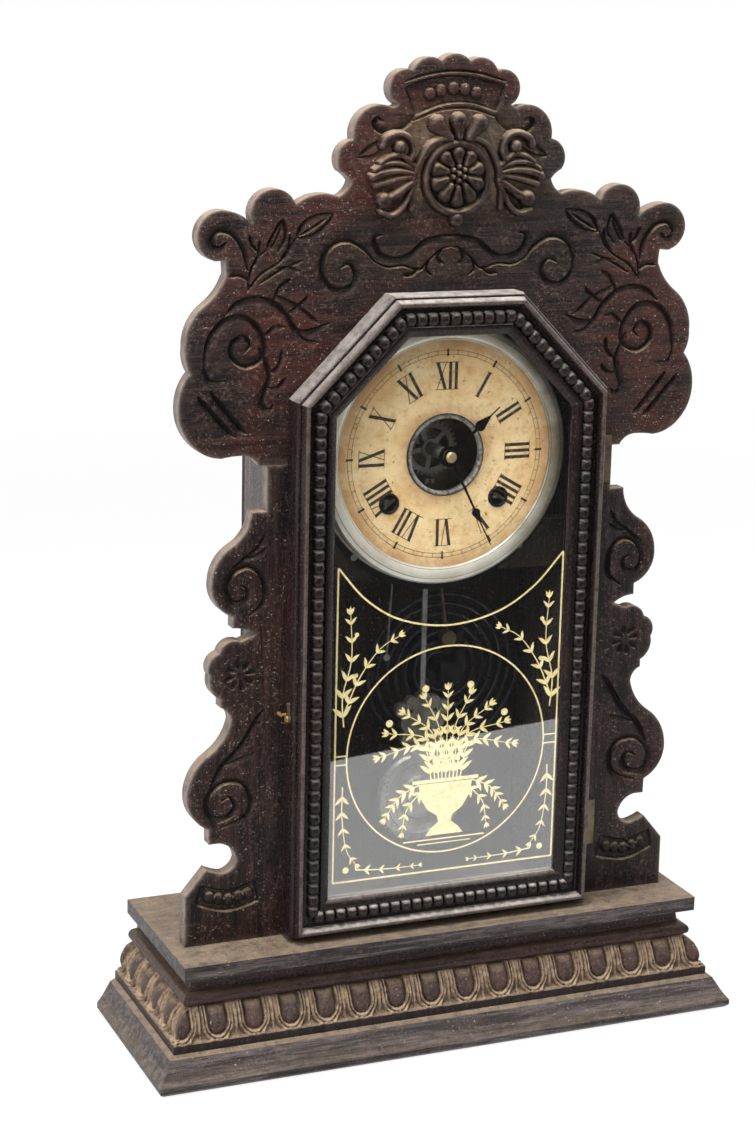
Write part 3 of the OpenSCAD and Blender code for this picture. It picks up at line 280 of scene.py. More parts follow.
def dial_metal():
    """Satin nickel of the dial's band, with painted shade along its creases and towards its right side, and the
    flange outside it painted black as shade.
    """
    g = Graph("dial_nickel")
    radius = from_dial_centre(g)
    tarnish = g.noise(45, 5, 0.6)
    base = g.mix(g.span(tarnish, 0.35, 0.7), rgb(255, 251, 240), rgb(226, 218, 200))
    base = g.mix(g.span(g.noise(600, 3, 0.7), 0.64, 0.76, 0.0, 0.25), base, rgb(120, 108, 88))
    # Painted shade: the band darkens towards its right side
    across = g.node("ShaderNodeSeparateXYZ", {0: g.place}).outputs["X"]
    dimmed = g.times(g.span(across, 0.015, 0.07), g.span(tarnish, 0.25, 0.6, 0.5, 0.85))
    base = g.mix(dimmed, base, rgb(126, 113, 86))
    # Painted shade: a dark line along each crease of the band
    for crease in PAN_CREASES:
        off = g.maths("ABSOLUTE", g.maths("SUBTRACT", radius, crease))
        base = g.mix(g.span(off, 0.0004, 0.0001, 0.0, 0.6), base, rgb(84, 76, 62))
    g.bump(g.noise(1600, 3, 0.6), 0.08, 0.0002)
    # Painted shade: outside PAN_FLANGE the flange is painted near black
    return g.surface(g.mix(g.span(radius, *PAN_FLANGE), base, rgb(20, 18, 18)),
                     g.span(tarnish, 0.3, 0.75, 0.28, 0.4), Metallic=0.55)


def dial_paper_material():
    """Aged cream paper with brown clouds, foxing, and a darker rim and centre."""
    g = Graph("aged_paper")
    cloud = g.noise(30, 6, 0.66)
    base = g.mix(g.span(cloud, 0.34, 0.66), rgb(255, 228, 176), rgb(240, 198, 136))
    base = g.mix(g.span(g.noise(170, 6, 0.75), 0.45, 0.7, 0.0, 0.6), base, rgb(198, 146, 92))
    base = g.mix(g.span(g.noise(430, 2, 0.5), 0.67, 0.74, 0.0, 0.7), base, rgb(120, 78, 46))
    radius = from_dial_centre(g)
    stained = g.plus(g.span(radius, 0.055, 0.066), g.span(radius, 0.034, 0.023))
    stained = g.times(stained, g.span(cloud, 0.3, 0.6, 0.25, 0.8))
    g.bump(g.noise(1300, 4, 0.6), 0.2, 0.0003)
    return g.surface(g.mix(stained, base, rgb(184, 134, 88)), 0.72)


def worn_ink():
    """Black printing, rubbed thin in places so that the paper's colour comes through."""
    g = Graph("dial_ink")
    rub = g.noise(520, 5, 0.75)
    g.bump(rub, 0.1, 0.0001)
    return g.surface(g.mix(g.span(rub, 0.52, 0.68, 0.0, 0.8), rgb(36, 31, 30), rgb(160, 126, 88)), 0.6)


def gold_print():
    """Thin gilt printing on the back of the glass."""
    g = Graph("gilt_print")
    patch = g.noise(330, 5, 0.7)
    g.bump(patch, 0.1, 0.0001)
    return g.surface(g.mix(g.span(patch, 0.4, 0.7), rgb(255, 240, 186), rgb(238, 208, 132)), 0.5, Metallic=0.1)


def pane():
    """Old window glass: clear, with a faint dust film, and light passes through it unshaded."""
    g = Graph("old_glass")
    g.surface((0.96, 0.98, 0.97, 1), g.span(g.noise(90, 5, 0.7), 0.45, 0.8, 0.0, 0.04),
              Transmission_Weight=1.0, IOR=2.1)
    g.bump(g.noise((16, 16, 10), 2, 0.5), 0.03, 0.001)
    g.give_way(g.node("ShaderNodeLightPath").outputs["Is Shadow Ray"], g.node("ShaderNodeBsdfTransparent"))
    return g.material


BLACK_BROWN = rgb(18, 14, 14)
MID_BROWN = rgb(48, 36, 33)
board_wood = old_wood("carved_oak", BLACK_BROWN, MID_BROWN, "z", 0.3, 0.6)
crown_wood = old_wood("carved_oak_red", BLACK_BROWN, rgb(54, 38, 32), "x", 0.85, 0.6)
cast_wood = old_wood("cast_rosette", rgb(24, 16, 14), rgb(50, 33, 29), "x", 0.5, 0.7, 0.3, 0.5)
# The door's moulding, rails and uprights: a large share of pale grey on upward faces, which is dust and a
# painted sheen of the top light
rail_wood = old_wood("moulded_oak", rgb(26, 21, 20), rgb(44, 36, 34), "x", 0.1, 0.8, 0.2, 0.3, PALE_DUST_AND_SHEEN)
stile_wood = old_wood("moulded_oak_upright", rgb(23, 18, 18), rgb(38, 30, 30), "z", 0.15, 0.55, 0.2, 0.3,
                      rgb(172, 162, 156))
base_wood = old_wood("base_oak", rgb(42, 37, 37), rgb(92, 84, 83), "x", 0.05, 0.5)
band_wood = old_wood("egg_band_oak", rgb(50, 36, 35), rgb(74, 55, 52), "z", 0.25, 0.45)
strip_wood = old_wood("bead_strip_oak", rgb(40, 28, 28), rgb(62, 45, 44), "x", 0.2, 0.2, 0.3, 0.6)
# Painted shadow: the neck under the base plate is nearly black, for the shade the plate's overhang casts on it
shadowed_neck_wood = old_wood("neck_oak_painted_shadow", rgb(12, 9, 8), rgb(21, 17, 15), "x", 0.0, 0.1, 0.45, 0.4)
# Painted light: the case's sides, top and glass strips are a lighter copy of the oak, for the light that falls
# on the sides
lit_case_wood = old_wood("case_wood", rgb(62, 54, 52), rgb(92, 82, 78), "z", 0.1, 0.45, 0.26, 0.6)
# Painted shade: the back board and dial blocks inside the case are darkened, for the shade inside it
back_wood = old_wood("back_wood", rgb(40, 31, 25), rgb(58, 46, 37), "z", 0.1, 0.5, 0.7)
dial_nickel = dial_metal()
eyelet_metal = eyelets()
hub_steel = old_metal("hub_steel", rgb(136, 130, 122), rgb(88, 82, 76), 0.4, 0.4, 0.4)
nut_metal = old_metal("worn_nut", rgb(226, 206, 168), rgb(120, 100, 72), 0.3, 0.6, 0.6)
bob_nickel = old_metal("worn_nickel", rgb(150, 146, 138), rgb(104, 98, 90), 0.3, 0.5, 0.7)
brass = old_metal("brass", rgb(206, 176, 110), rgb(150, 120, 70), 0.34, 0.4, 0.7)
# Brass dark with age, and darker still as painted shade for the movement inside the case
aged_shaded_brass = old_metal("aged_brass_painted_shade", rgb(112, 98, 74), rgb(60, 52, 42), 0.45, 0.5, 0.5)
steel = old_metal("steel", rgb(160, 160, 158), rgb(108, 104, 100), 0.35, 0.4, 0.6)
blue_steel = old_metal("blued_steel", rgb(92, 98, 108), rgb(52, 54, 60), 0.3)
dark_iron = old_metal("cast_iron", rgb(58, 58, 60), rgb(40, 36, 34), 0.55)
hand_black = old_metal("japanned_steel", rgb(40, 36, 34), rgb(28, 25, 24), 0.42, 0.2)
paper = dial_paper_material()
ink = worn_ink()
gilt = gold_print()
glass = pane()


# Outlines and paths

# Distance given to points out of reach of a path
FAR = 9.0


def spline(knots, step=0.5):
    """Smooth line through the knots, with points about one step apart."""
    knots = np.asarray(knots, float)
    if len(knots) == 2:
        count = max(2, int(np.linalg.norm(knots[1] - knots[0]) / step) + 1)
        return knots[0] + np.linspace(0, 1, count)[:, None] * (knots[1] - knots[0])
    ends = np.vstack([2 * knots[0] - knots[1], knots, 2 * knots[-1] - knots[-2]])
    line = []
    for a, b, c, d in zip(ends, ends[1:], ends[2:], ends[3:]):
        count = max(2, int(np.linalg.norm(c - b) / step) + 1)
        t = np.linspace(0, 1, count, endpoint=False)[:, None]
        line.append(0.5 * (2 * b + (c - a) * t + (2 * a - 5 * b + 4 * c - d) * t**2
                           + (3 * b - a - 3 * c + d) * t**3))
    return np.vstack(line + [knots[-1:]])


def front_outline(node):
    """Outer edge of a board's flat front, in order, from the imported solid."""
    mesh = nodes[node].data
    places = np.array([v.co for v in mesh.vertices]) / MM
    flat = places[:, 1] < places[:, 1].min() + 0.01
    following = {}
    for polygon in mesh.polygons:
        if all(flat[i] for i in polygon.vertices):
            ring = [tuple(np.round(places[i][[0, 2]], 3)) for i in polygon.vertices]
            for a, b in zip(ring, ring[1:] + ring[:1]):
                if a in following.get(b, ()):
                    following[b].remove(a)
                else:
                    following.setdefault(a, []).append(b)
    loops = []
    while any(following.values()):
        here = next(p for p in following if following[p])
        loop = []
        while following.get(here):
            loop.append(here)
            here = following[here].pop()
        loops.append(np.array(loop))
    return max(loops, key=lambda loop: np.ptp(loop, axis=0).sum())


def rounded_outline(loop, cusp=28, straight=14, slight=6, step=0.8):
    """The outline with its arcs made smooth, and its cusps and corners kept."""
    before = loop - np.roll(loop, 1, 0)
    after = np.roll(loop, -1, 0) - loop
    turn = np.degrees(np.abs(np.arctan2(before[:, 0] * after[:, 1] - before[:, 1] * after[:, 0],
                                        (before * after).sum(1))))
    long_side = np.maximum(np.hypot(*before.T), np.hypot(*after.T)) > straight
    corners = np.flatnonzero((turn > cusp) | (long_side & (turn > slight)))
    loop = np.roll(loop, -corners[0], 0)
    corners = np.append(corners - corners[0], len(loop))
    closed = np.vstack([loop, loop[:1]])
    return np.vstack([spline(closed[a:b + 1], step)[:-1] for a, b in zip(corners, corners[1:])])


def inside(points, loop):
    """Which points lie inside the closed loop."""
    x, z = points[:, 0], points[:, 1]
    hit = np.zeros(len(points), bool)
    for (x1, z1), (x2, z2) in zip(loop, np.roll(loop, -1, 0)):
        if z1 != z2:
            hit ^= ((z1 > z) != (z2 > z)) & (x < (x2 - x1) * (z - z1) / (z2 - z1) + x1)
    return hit


def nearest(points, path, reach):
    """Distance to the path, which sample is nearest, and on which side of it, for points within reach."""
    lo, hi = path.min(0) - reach, path.max(0) + reach
    chosen = np.flatnonzero(((points > lo) & (points < hi)).all(1))
    if not len(chosen):
        return chosen, np.zeros(0), np.zeros(0, int), np.zeros(0)
    best = np.full(len(chosen), 1e9)
    which = np.zeros(len(chosen), int)
    for start in range(0, len(path), 200):
        part = path[start:start + 200]
        gap = ((points[chosen][:, None] - part[None]) ** 2).sum(2)
        near = gap.argmin(1)
        low = gap[np.arange(len(chosen)), near]
        better = low < best
        best[better] = low[better]
        which[better] = near[better] + start
    way = np.gradient(path, axis=0)[which]
    off = points[chosen] - path[which]
    side = np.sign(way[:, 0] * off[:, 1] - way[:, 1] * off[:, 0])
    return chosen, np.sqrt(best), which, side


def unit(value):
    """The value kept between 0 and 1."""
    return np.clip(value, 0, 1)


def dome(off):
    """Height of a half circle: 1 at its middle, 0 from one radius off."""
    return np.sqrt(unit(1 - off**2))


def gap_to(points, path, reach):
    """Distance of each point to the path, or FAR where the path isn't within reach."""
    found = np.full(len(points), FAR)
    chosen, gap, _, _ = nearest(points, path, reach)
    found[chosen] = gap
    return found


def near_any(points, paths, reach):
    """Which points lie within reach of one of the paths."""
    return np.any([gap_to(points, path, reach) < reach for path in paths], axis=0)


def hex_grid(lo, hi, step):
    """Grid whose every second row is set off by half a step."""
    rows = np.arange(lo[1], hi[1], step * math.sqrt(3) / 2)
    across = np.arange(lo[0], hi[0], step)
    return np.array([[x + (step / 2 if i % 2 else 0), z] for i, z in enumerate(rows) for x in across])


def round_points(centre, radius, angles):
    """Points round a centre, across and up."""
    return np.array([[centre[0] + radius * math.cos(a), centre[1] + radius * math.sin(a)] for a in angles])


def at_depth(flat, y):
    """Points across and up, set at depth y: one number, or one for each point."""
    return np.stack([flat[:, 0], np.broadcast_to(y, len(flat)), flat[:, 1]], 1)


def skin(rows, size, wrap=False):
    """Quads between rows of so many points each, closed round each row or not."""
    return [(r * size + c, r * size + (c + 1) % size, (r + 1) * size + (c + 1) % size, (r + 1) * size + c)
            for r in range(rows - 1) for c in range(size if wrap else size - 1)]


def tube(rows, size):
    """Faces of a tube of rows, with its two ends closed."""
    last = (rows - 1) * size
    return skin(rows, size, True) + [tuple(range(size)), tuple(reversed(range(last, last + size)))]


# Carving, left half of the clock, as knots across and up

SPIRAL, LINE, LEAF = "spiral", "line", "leaf"
PANEL_TOP = [[-30, 553], [-18, 557], [-4, 559], [12, 558], [30, 554]]
PANEL_LOW = [[-24, 538.5], [-7, 544.5], [10, 545], [25, 540.5]]
BASKET_TOP, BASKET_LOW = [[-145, 105], [-128, 100.5], [-112, 104.5]], [[-147, 94], [-129, 88.5], [-109.5, 92]]


def strokes(kind, paths):
    return [(kind, knots) for knots in paths]


CROWN_MIDDLE = strokes(LINE, [
    PANEL_TOP, PANEL_LOW,
    [[-31, 556], [-18, 560], [-3, 562], [14, 561], [31, 556.5]], [[-30, 553], [-26.5, 546], [-24, 538.5]],
    [[30, 554], [27, 547], [25, 540.5]], [[-27, 534.5], [-9, 541], [10, 541.6], [27.5, 536.5]],
])
CROWN_HALF = strokes(SPIRAL, [
    [[-24, 538.5], [-29, 532.5], [-37, 528], [-45, 529.5], [-48.5, 534], [-46, 536.5], [-42.5, 535]],
    [[-46, 458.5], [-52, 465], [-61.5, 470], [-70.5, 468], [-76, 460.5], [-75.5, 450.5], [-68, 444], [-60, 446],
     [-57.5, 452.5], [-61, 457.5], [-66, 456]],
    [[-41.5, 473.5], [-46, 471], [-42, 463], [-32.5, 460], [-24.5, 463], [-17, 469], [-5, 472], [0, 472]],
    [[-120, 456], [-123, 467], [-129.5, 475], [-137, 476.5], [-140.5, 471.5], [-137, 468], [-132.5, 471]],
    [[-132.5, 432], [-126, 438.5], [-115.5, 441], [-105.5, 438.5], [-96.5, 431], [-91, 422.5], [-83, 422],
     [-72.5, 425.5]],
    [[-145, 400.5], [-142.5, 418.5], [-133, 429.5], [-119.5, 430], [-110.5, 419.5], [-110.5, 408], [-120.5, 403],
     [-129, 408.5], [-129, 416.5], [-122.5, 420], [-118, 415.5], [-121.5, 411]],
    [[-113, 414], [-106.5, 398.5], [-110.5, 383.5], [-107.5, 379], [-104.5, 381.5]],
    [[-148, 388], [-126.5, 364.5]], [[-140.5, 390], [-120, 366]],
]) + strokes(LINE, [
    [[-46, 458.5], [-38, 455.5], [-28.5, 456], [-19, 453.5], [-13, 459], [-5, 465], [0, 466]],
    [[-13, 459], [-14.5, 453.5], [-11, 450]], [[-90, 474], [-82, 478.5], [-75, 483]],
    [[-107, 467], [-103.5, 473], [-101, 479]], [[-120, 444.5], [-118.5, 455], [-115, 461.5], [-109.5, 466.5]],
    [[-120, 444.5], [-113, 453], [-100.5, 461], [-92.5, 472.5]], [[-113, 448.5], [-100.5, 455.5], [-88, 460.5]],
]) + strokes(LEAF, [
    [[-57, 516], [-52, 520.5], [-45, 524], [-38, 524]],
    [[-57, 515.5], [-48.5, 516.5], [-41.5, 520.5], [-38, 524]], [[-19, 454.5], [-23.5, 450.5], [-29, 450.5]],
    [[-5, 465], [-7.5, 460], [-4, 456.5]], [[-117.5, 458], [-114, 464.5], [-113.5, 472]],
    [[-112, 464], [-117.5, 469], [-119.5, 475]], [[-101, 461.5], [-97, 467], [-96, 474.5]],
    [[-104, 456], [-97, 457], [-90, 454.5]], [[-118, 449], [-124, 452.5], [-130.5, 452.5]],
    [[-97, 431.5], [-91, 435.5], [-85, 441]], [[-91.5, 422.5], [-86, 417], [-78.5, 415]],
    [[-105.5, 438.5], [-101.5, 446.5], [-95.5, 450.5]], [[-110.5, 419.5], [-104, 425], [-98.5, 424]],
    [[-106.5, 398.5], [-101.5, 404], [-100, 411.5]], [[-108.5, 391], [-103, 391], [-97.5, 396]],
    [[-145, 404], [-141, 396.5], [-133, 395.5]], [[-92.5, 472.5], [-89, 480], [-81, 484.5], [-70.5, 485.5]],
    [[-92.5, 472.5], [-84.5, 473.5], [-76.5, 478.5], [-70.5, 485.5]],
    [[-109.5, 466.5], [-106.5, 474], [-100.5, 482], [-98, 473.5], [-102.5, 465.5]],
    [[-104.5, 442], [-94, 437.5], [-86, 432.5], [-78, 425.5]],
])
SIDE_HALF = strokes(SPIRAL, [
    [[-117, 262.5], [-109, 270.5], [-109.5, 282.5], [-116.5, 290], [-125.5, 288], [-130, 279.5], [-127, 272],
     [-120, 272], [-118.5, 277.5], [-122, 280.5]],
    [[-132.5, 139], [-119, 144.5], [-115.5, 155], [-121, 164], [-132.5, 165], [-141, 156.5], [-139, 146.5],
     [-130.5, 145.5], [-125, 151], [-128, 156.5], [-133, 154.5]],
    [[-140, 162.5], [-133.5, 175.5], [-122, 187], [-113, 201.5], [-108, 207]],
]) + strokes(LEAF, [
    [[-129.5, 288.5], [-121, 295.5], [-113.5, 301], [-108.5, 308.5]],
    [[-121, 295.5], [-114.5, 296.5], [-108, 300.5]], [[-131.5, 175.5], [-122, 179], [-113, 182]],
    [[-117.5, 194], [-113, 198], [-109.5, 200]],
]) + strokes(LINE, [
    BASKET_TOP, BASKET_LOW, [BASKET_TOP[0], BASKET_LOW[0]], [BASKET_TOP[-1], BASKET_LOW[-1]],
])
CROWN_PEARLS = [[-15, 549.5], [-8.5, 551.5], [-1, 552.5], [6, 552], [13, 550]]
BASKET_PEARLS = [[-139.5, 97.5], [-134, 96], [-128, 95], [-122, 96], [-116.5, 97]]
SIDE_FLOWER = [-122, 228.5]
ROSETTE = np.array([1.5, 503.5])
PANEL = PANEL_TOP + PANEL_LOW[::-1]
BASKET = BASKET_TOP + BASKET_LOW[::-1]

# Width of the cut, width of its sloping side, and depth, for each kind of stroke
CUT = {SPIRAL: (2.2, 5.2, 2.3), LINE: (1.7, 0.0, 1.7), LEAF: (1.6, 3.4, 1.9)}
# Rounding of the boards' front edge, then the pearls, and the depth of what is sunk; the ring round each pearl
# is not sunk, and its value only sets the painted shade there
EDGE_ROUND = 1.3
PEARL_RADIUS, PEARL_RISE = 3.4, 2.3
PANEL_DEPTH = PETAL_DEPTH = MOAT_SHADE = 1.3
# Circles round a pearl and a flower that keep the cells fine there
PEARL_RING, FLOWER_RINGS, FULL_TURN = 2.5, (3, 6, 9), 6.28
# Fine cells lie this near to a cut, and coarse ones start at the second distance
FINE_REACH, COARSE_START = 4.2, 4.6
# Depth of the rings round a board's edge, and how much lighter each is: wear, and a painted highlight
WALL = {FACE + 2.0: 0.85, BOARD_BACK - 0.6: 0.75, BOARD_BACK: 0.08}


def flipped(knots):
    """The knots on the other side of the clock's middle."""
    return [[-x, z] for x, z in knots]


def mirrored(cuts):
    return [(kind, flipped(knots)) for kind, knots in cuts]


def cut_depth(points, kind, knots, flip):
    """Depth of one carved stroke: a steep wall on one side and a slope on the other."""
    width, slope, depth = CUT[kind]
    path = spline(knots, 0.4)
    chosen, gap, which, side = nearest(points, path, max(width, slope) + 1)
    along = which / max(1, len(path) - 1)
    swell = unit(np.minimum(along, 1 - along) * 7) ** 0.6
    half = width / 2 * (0.45 + 0.55 * swell)
    reach = np.where(side * flip > 0, np.maximum(half, slope * swell), half)
    share = unit(1 - gap / np.maximum(reach, 0.1))
    steep = unit(1 - (gap / half) ** 2) ** 0.6
    found = np.zeros(len(points))
    found[chosen] = depth * (0.55 + 0.45 * swell) * np.maximum(steep, share**1.6)
    return found


def sunk(points, corners, depth, soften=0.9):
    """Depth of a flat sunk panel with softened walls."""
    loop = spline(corners + corners[:1], 0.8)[:-1]
    chosen, gap, _, _ = nearest(points, loop, soften + 0.1)
    level = inside(points, loop) * depth
    level[chosen] *= unit(gap / soften)
    return level


def flower_cut(points, centre, petals=8):
    """Ring of drop-shaped petals sunk into the board."""
    found = np.zeros(len(points))
    for i in range(petals):
        angle = 2 * math.pi * i / petals + 0.2
        way = np.array([math.cos(angle), math.sin(angle)])
        off = points - np.array(centre)
        along = off @ way
        across = off @ np.array([-way[1], way[0]])
        width = 1.2 + 1.3 * unit((along - 3) / 6)
        shape = unit(1 - ((along - 6.2) / 3.6) ** 2 - (across / width) ** 2)
        found = np.maximum(found, PETAL_DEPTH * np.sqrt(shape))
    return found


def carving_depth(points, cuts):
    """All the strokes of one board, each sloping away from the clock's middle."""
    depth = np.zeros(len(points))
    for kind, knots in cuts:
        flip = 1 if np.mean([k[0] for k in knots]) > 0 else -1
        depth = np.maximum(depth, cut_depth(points, kind, knots, flip))
    return depth


def dust_round_rosette(points):
    """Share of dust that has gathered above and beside the rosette."""
    off = ((points[:, 0] - ROSETTE[0]) / 44) ** 2 + ((points[:, 1] - ROSETTE[1] - 10.5) / 25) ** 2
    return 0.38 * np.exp(-off**2)


def board_points(loop, cuts, pearls, flowers, fine=0.62, coarse=2.4):
    """The board's outline, rings inside it, and a grid that is fine near what is carved."""
    way = np.roll(loop, -1, 0) - np.roll(loop, 1, 0)
    inward = np.stack([-way[:, 1], way[:, 0]], 1) / np.maximum(np.hypot(*way.T), 1e-6)[:, None]
    lo, hi = loop.min(0), loop.max(0)
    paths = [spline(knots, 0.6) for _, knots in cuts]
    paths += [round_points(p, PEARL_RING, np.linspace(0, FULL_TURN, 24)) for p in pearls]
    paths += [round_points(p, r, np.linspace(0, FULL_TURN, 48)) for p in flowers for r in FLOWER_RINGS]
    dense, sparse = hex_grid(lo, hi, fine), hex_grid(lo, hi, coarse)
    grid = np.vstack([dense[near_any(dense, paths, FINE_REACH)], sparse[~near_any(sparse, paths, COARSE_START)]])
    rings = np.vstack([loop + inward * off for off in (0.35, 0.8, 1.5)])
    closed_loop = np.vstack([loop, loop[:1]])
    kept = [loop]
    for points, clear in ((rings, 0.3), (grid, 1.7)):
        points = points[inside(points, loop)]
        kept.append(points[gap_to(points, closed_loop, 2.0) > clear])
    return np.vstack(kept), closed_loop


def carved_front(places, closed_loop, cuts, panels, pearls, flowers):
    """Depth of the front at each place, and the marks for the wood's painted shade in the cuts, its edges
    lighter for wear and a painted highlight, and the dust round the rosette.
    """
    depth = carving_depth(places, cuts)
    # Depth that sets the painted shade: the cuts, the petals, and a ring round each pearl that is not sunk
    carved = depth.copy()
    for corners in panels:
        depth = np.maximum(depth, sunk(places, corners, PANEL_DEPTH))
    for p in flowers:
        petals = flower_cut(places, p)
        depth = np.maximum(depth, petals)
        carved = np.maximum(carved, petals)
    for p in pearls:
        away = np.hypot(*(places - np.array(p)).T) / PEARL_RADIUS
        # Painted shade in a ring round the pearl, with no depth of its own
        carved = np.maximum(carved, MOAT_SHADE * ((away > 0.86) & (away < 1.22)))
        depth = depth - PEARL_RISE * dome(away)
    edge_gap = gap_to(places, closed_loop, 3.0)
    shy = unit(1 - edge_gap / EDGE_ROUND)
    depth = depth + EDGE_ROUND * 0.55 * (1 - dome(shy))
    return depth, {"painted_shade": unit((carved - 0.5) / 0.9), "edge": np.exp(-edge_gap / 0.8) * 0.7,
                   "dust_and_highlight": dust_round_rosette(places)}


def carved_board(name, node, material, cuts, panels, pearls, flowers):
    """A fretted board whose front is carved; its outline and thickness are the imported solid's."""
    loop = rounded_outline(front_outline(node))
    if (loop[:, 0] * (np.roll(loop, -1, 0)[:, 1] - np.roll(loop, 1, 0)[:, 1])).sum() < 0:
        loop = loop[::-1]
    flat, closed_loop = board_points(loop, cuts, pearls, flowers)
    count = len(loop)
    border = [(i, (i + 1) % count) for i in range(count)]
    made = delaunay_2d_cdt([Vector(p) for p in flat], border, [list(range(count))], 1, 1e-5)
    places = np.array([p[:] for p in made[0]])
    depth, marks = carved_front(places, closed_loop, cuts, panels, pearls, flowers)
    index = {tuple(np.round(p, 4)): i for i, p in enumerate(places)}
    rim = [index[tuple(np.round(p, 4))] for p in loop if tuple(np.round(p, 4)) in index]
    around = len(rim)
    points = [at_depth(places, FACE + depth)] + [at_depth(places[rim], level) for level in WALL]
    rings = [rim] + [[len(places) + k * around + i for i in range(around)] for k in range(len(WALL))]
    faces = [tuple(f) for f in made[2]]
    for upper, lower in zip(rings, rings[1:]):
        faces += [(upper[i], upper[(i + 1) % around], lower[(i + 1) % around], lower[i]) for i in range(around)]
    faces.append(tuple(reversed(rings[-1])))
    walls = {"edge": np.repeat(list(WALL.values()), around)}
    marks = {mark: np.append(values, walls.get(mark, np.zeros(around * len(WALL))))
             for mark, values in marks.items()}
    return piece(name, np.vstack(points), faces, material, "case", [node], marks, 35)


carved_board("carved_crown", "front_top_board", crown_wood,
             CROWN_MIDDLE + CROWN_HALF + mirrored(CROWN_HALF), [PANEL], CROWN_PEARLS, [])
carved_board("carved_left", "front_left_board", board_wood, SIDE_HALF, [BASKET], BASKET_PEARLS, [SIDE_FLOWER])
carved_board("carved_right", "front_right_board", board_wood, mirrored(SIDE_HALF),
             [flipped(BASKET)], flipped(BASKET_PEARLS), flipped([SIDE_FLOWER]))


# Base: egg-and-dart band

# Half width and height of the band's outline, from bottom to top
BAND = [(171.3, 19.5), (171.3, 25), (169, 27.55), (168.7, 31), (167.5, 34.7), (165.5, 38.4), (162, 42.5)]
# Half width at the eggs, and the half width at which the band's front would lie in the boards' face
HALF_FRONT, SETBACK = 167.5, 138.4
# Where the ornament starts above the band's lower fillet, how deep it is cut, and the way it is cut, in and down
BAND_GROUND, BAND_RELIEF, CUT_WAY = 24.6, 3.4, (0.92, 0.4)
# Eggs: spacing, height of the widest place and of the top, half width and drop, and the two rims round them
EGG_PITCH, EGG_CENTRE, EGG_TOP, EGG_HALF, EGG_DROP = 22.1, 34.6, 43.2, 5.7, 8.0
EGG_RIMS = ((7.0, 0.75), (8.7, 0.8))
# At the band's ends: where the samples begin before the corner, and how far the first egg stands from it
SIDE_LEAD, SIDE_SHIFT = 6, 1.8


def band_rows(count=34):
    """Half-width and height of the band's rows from bottom to top."""
    outline = np.array(BAND, float)
    length = np.append(0, np.cumsum(np.hypot(*np.diff(outline, axis=0).T)))
    at = np.linspace(0, length[-1], count)
    return np.stack([np.interp(at, length, side) for side in outline.T], 1)


def egg_rise(at, up):
    """Rise of the egg, and of its double rim and the dart, each from 0 at the ground to 1 at the face."""
    across = (at / EGG_PITCH + 0.5) % 1 * EGG_PITCH - EGG_PITCH / 2
    below = max(EGG_CENTRE - up, 0)
    egg = np.sqrt(unit(1 - (across / EGG_HALF) ** 2 - (below / EGG_DROP) ** 2))
    egg = egg * np.clip((EGG_TOP - up) / 3, 0.2, 1) ** 0.5
    ring = np.sqrt(across**2 + (below * 0.82) ** 2)
    rim = np.maximum(*[unit(1 - ((ring - radius) / half) ** 2) for radius, half in EGG_RIMS])
    reed = unit(1 - ((np.abs(across) - EGG_PITCH / 2) / (0.35 + 0.09 * (up - 24))) ** 2)
    return egg, np.maximum(0.82 * np.sqrt(rim), 0.62 * np.sqrt(reed))


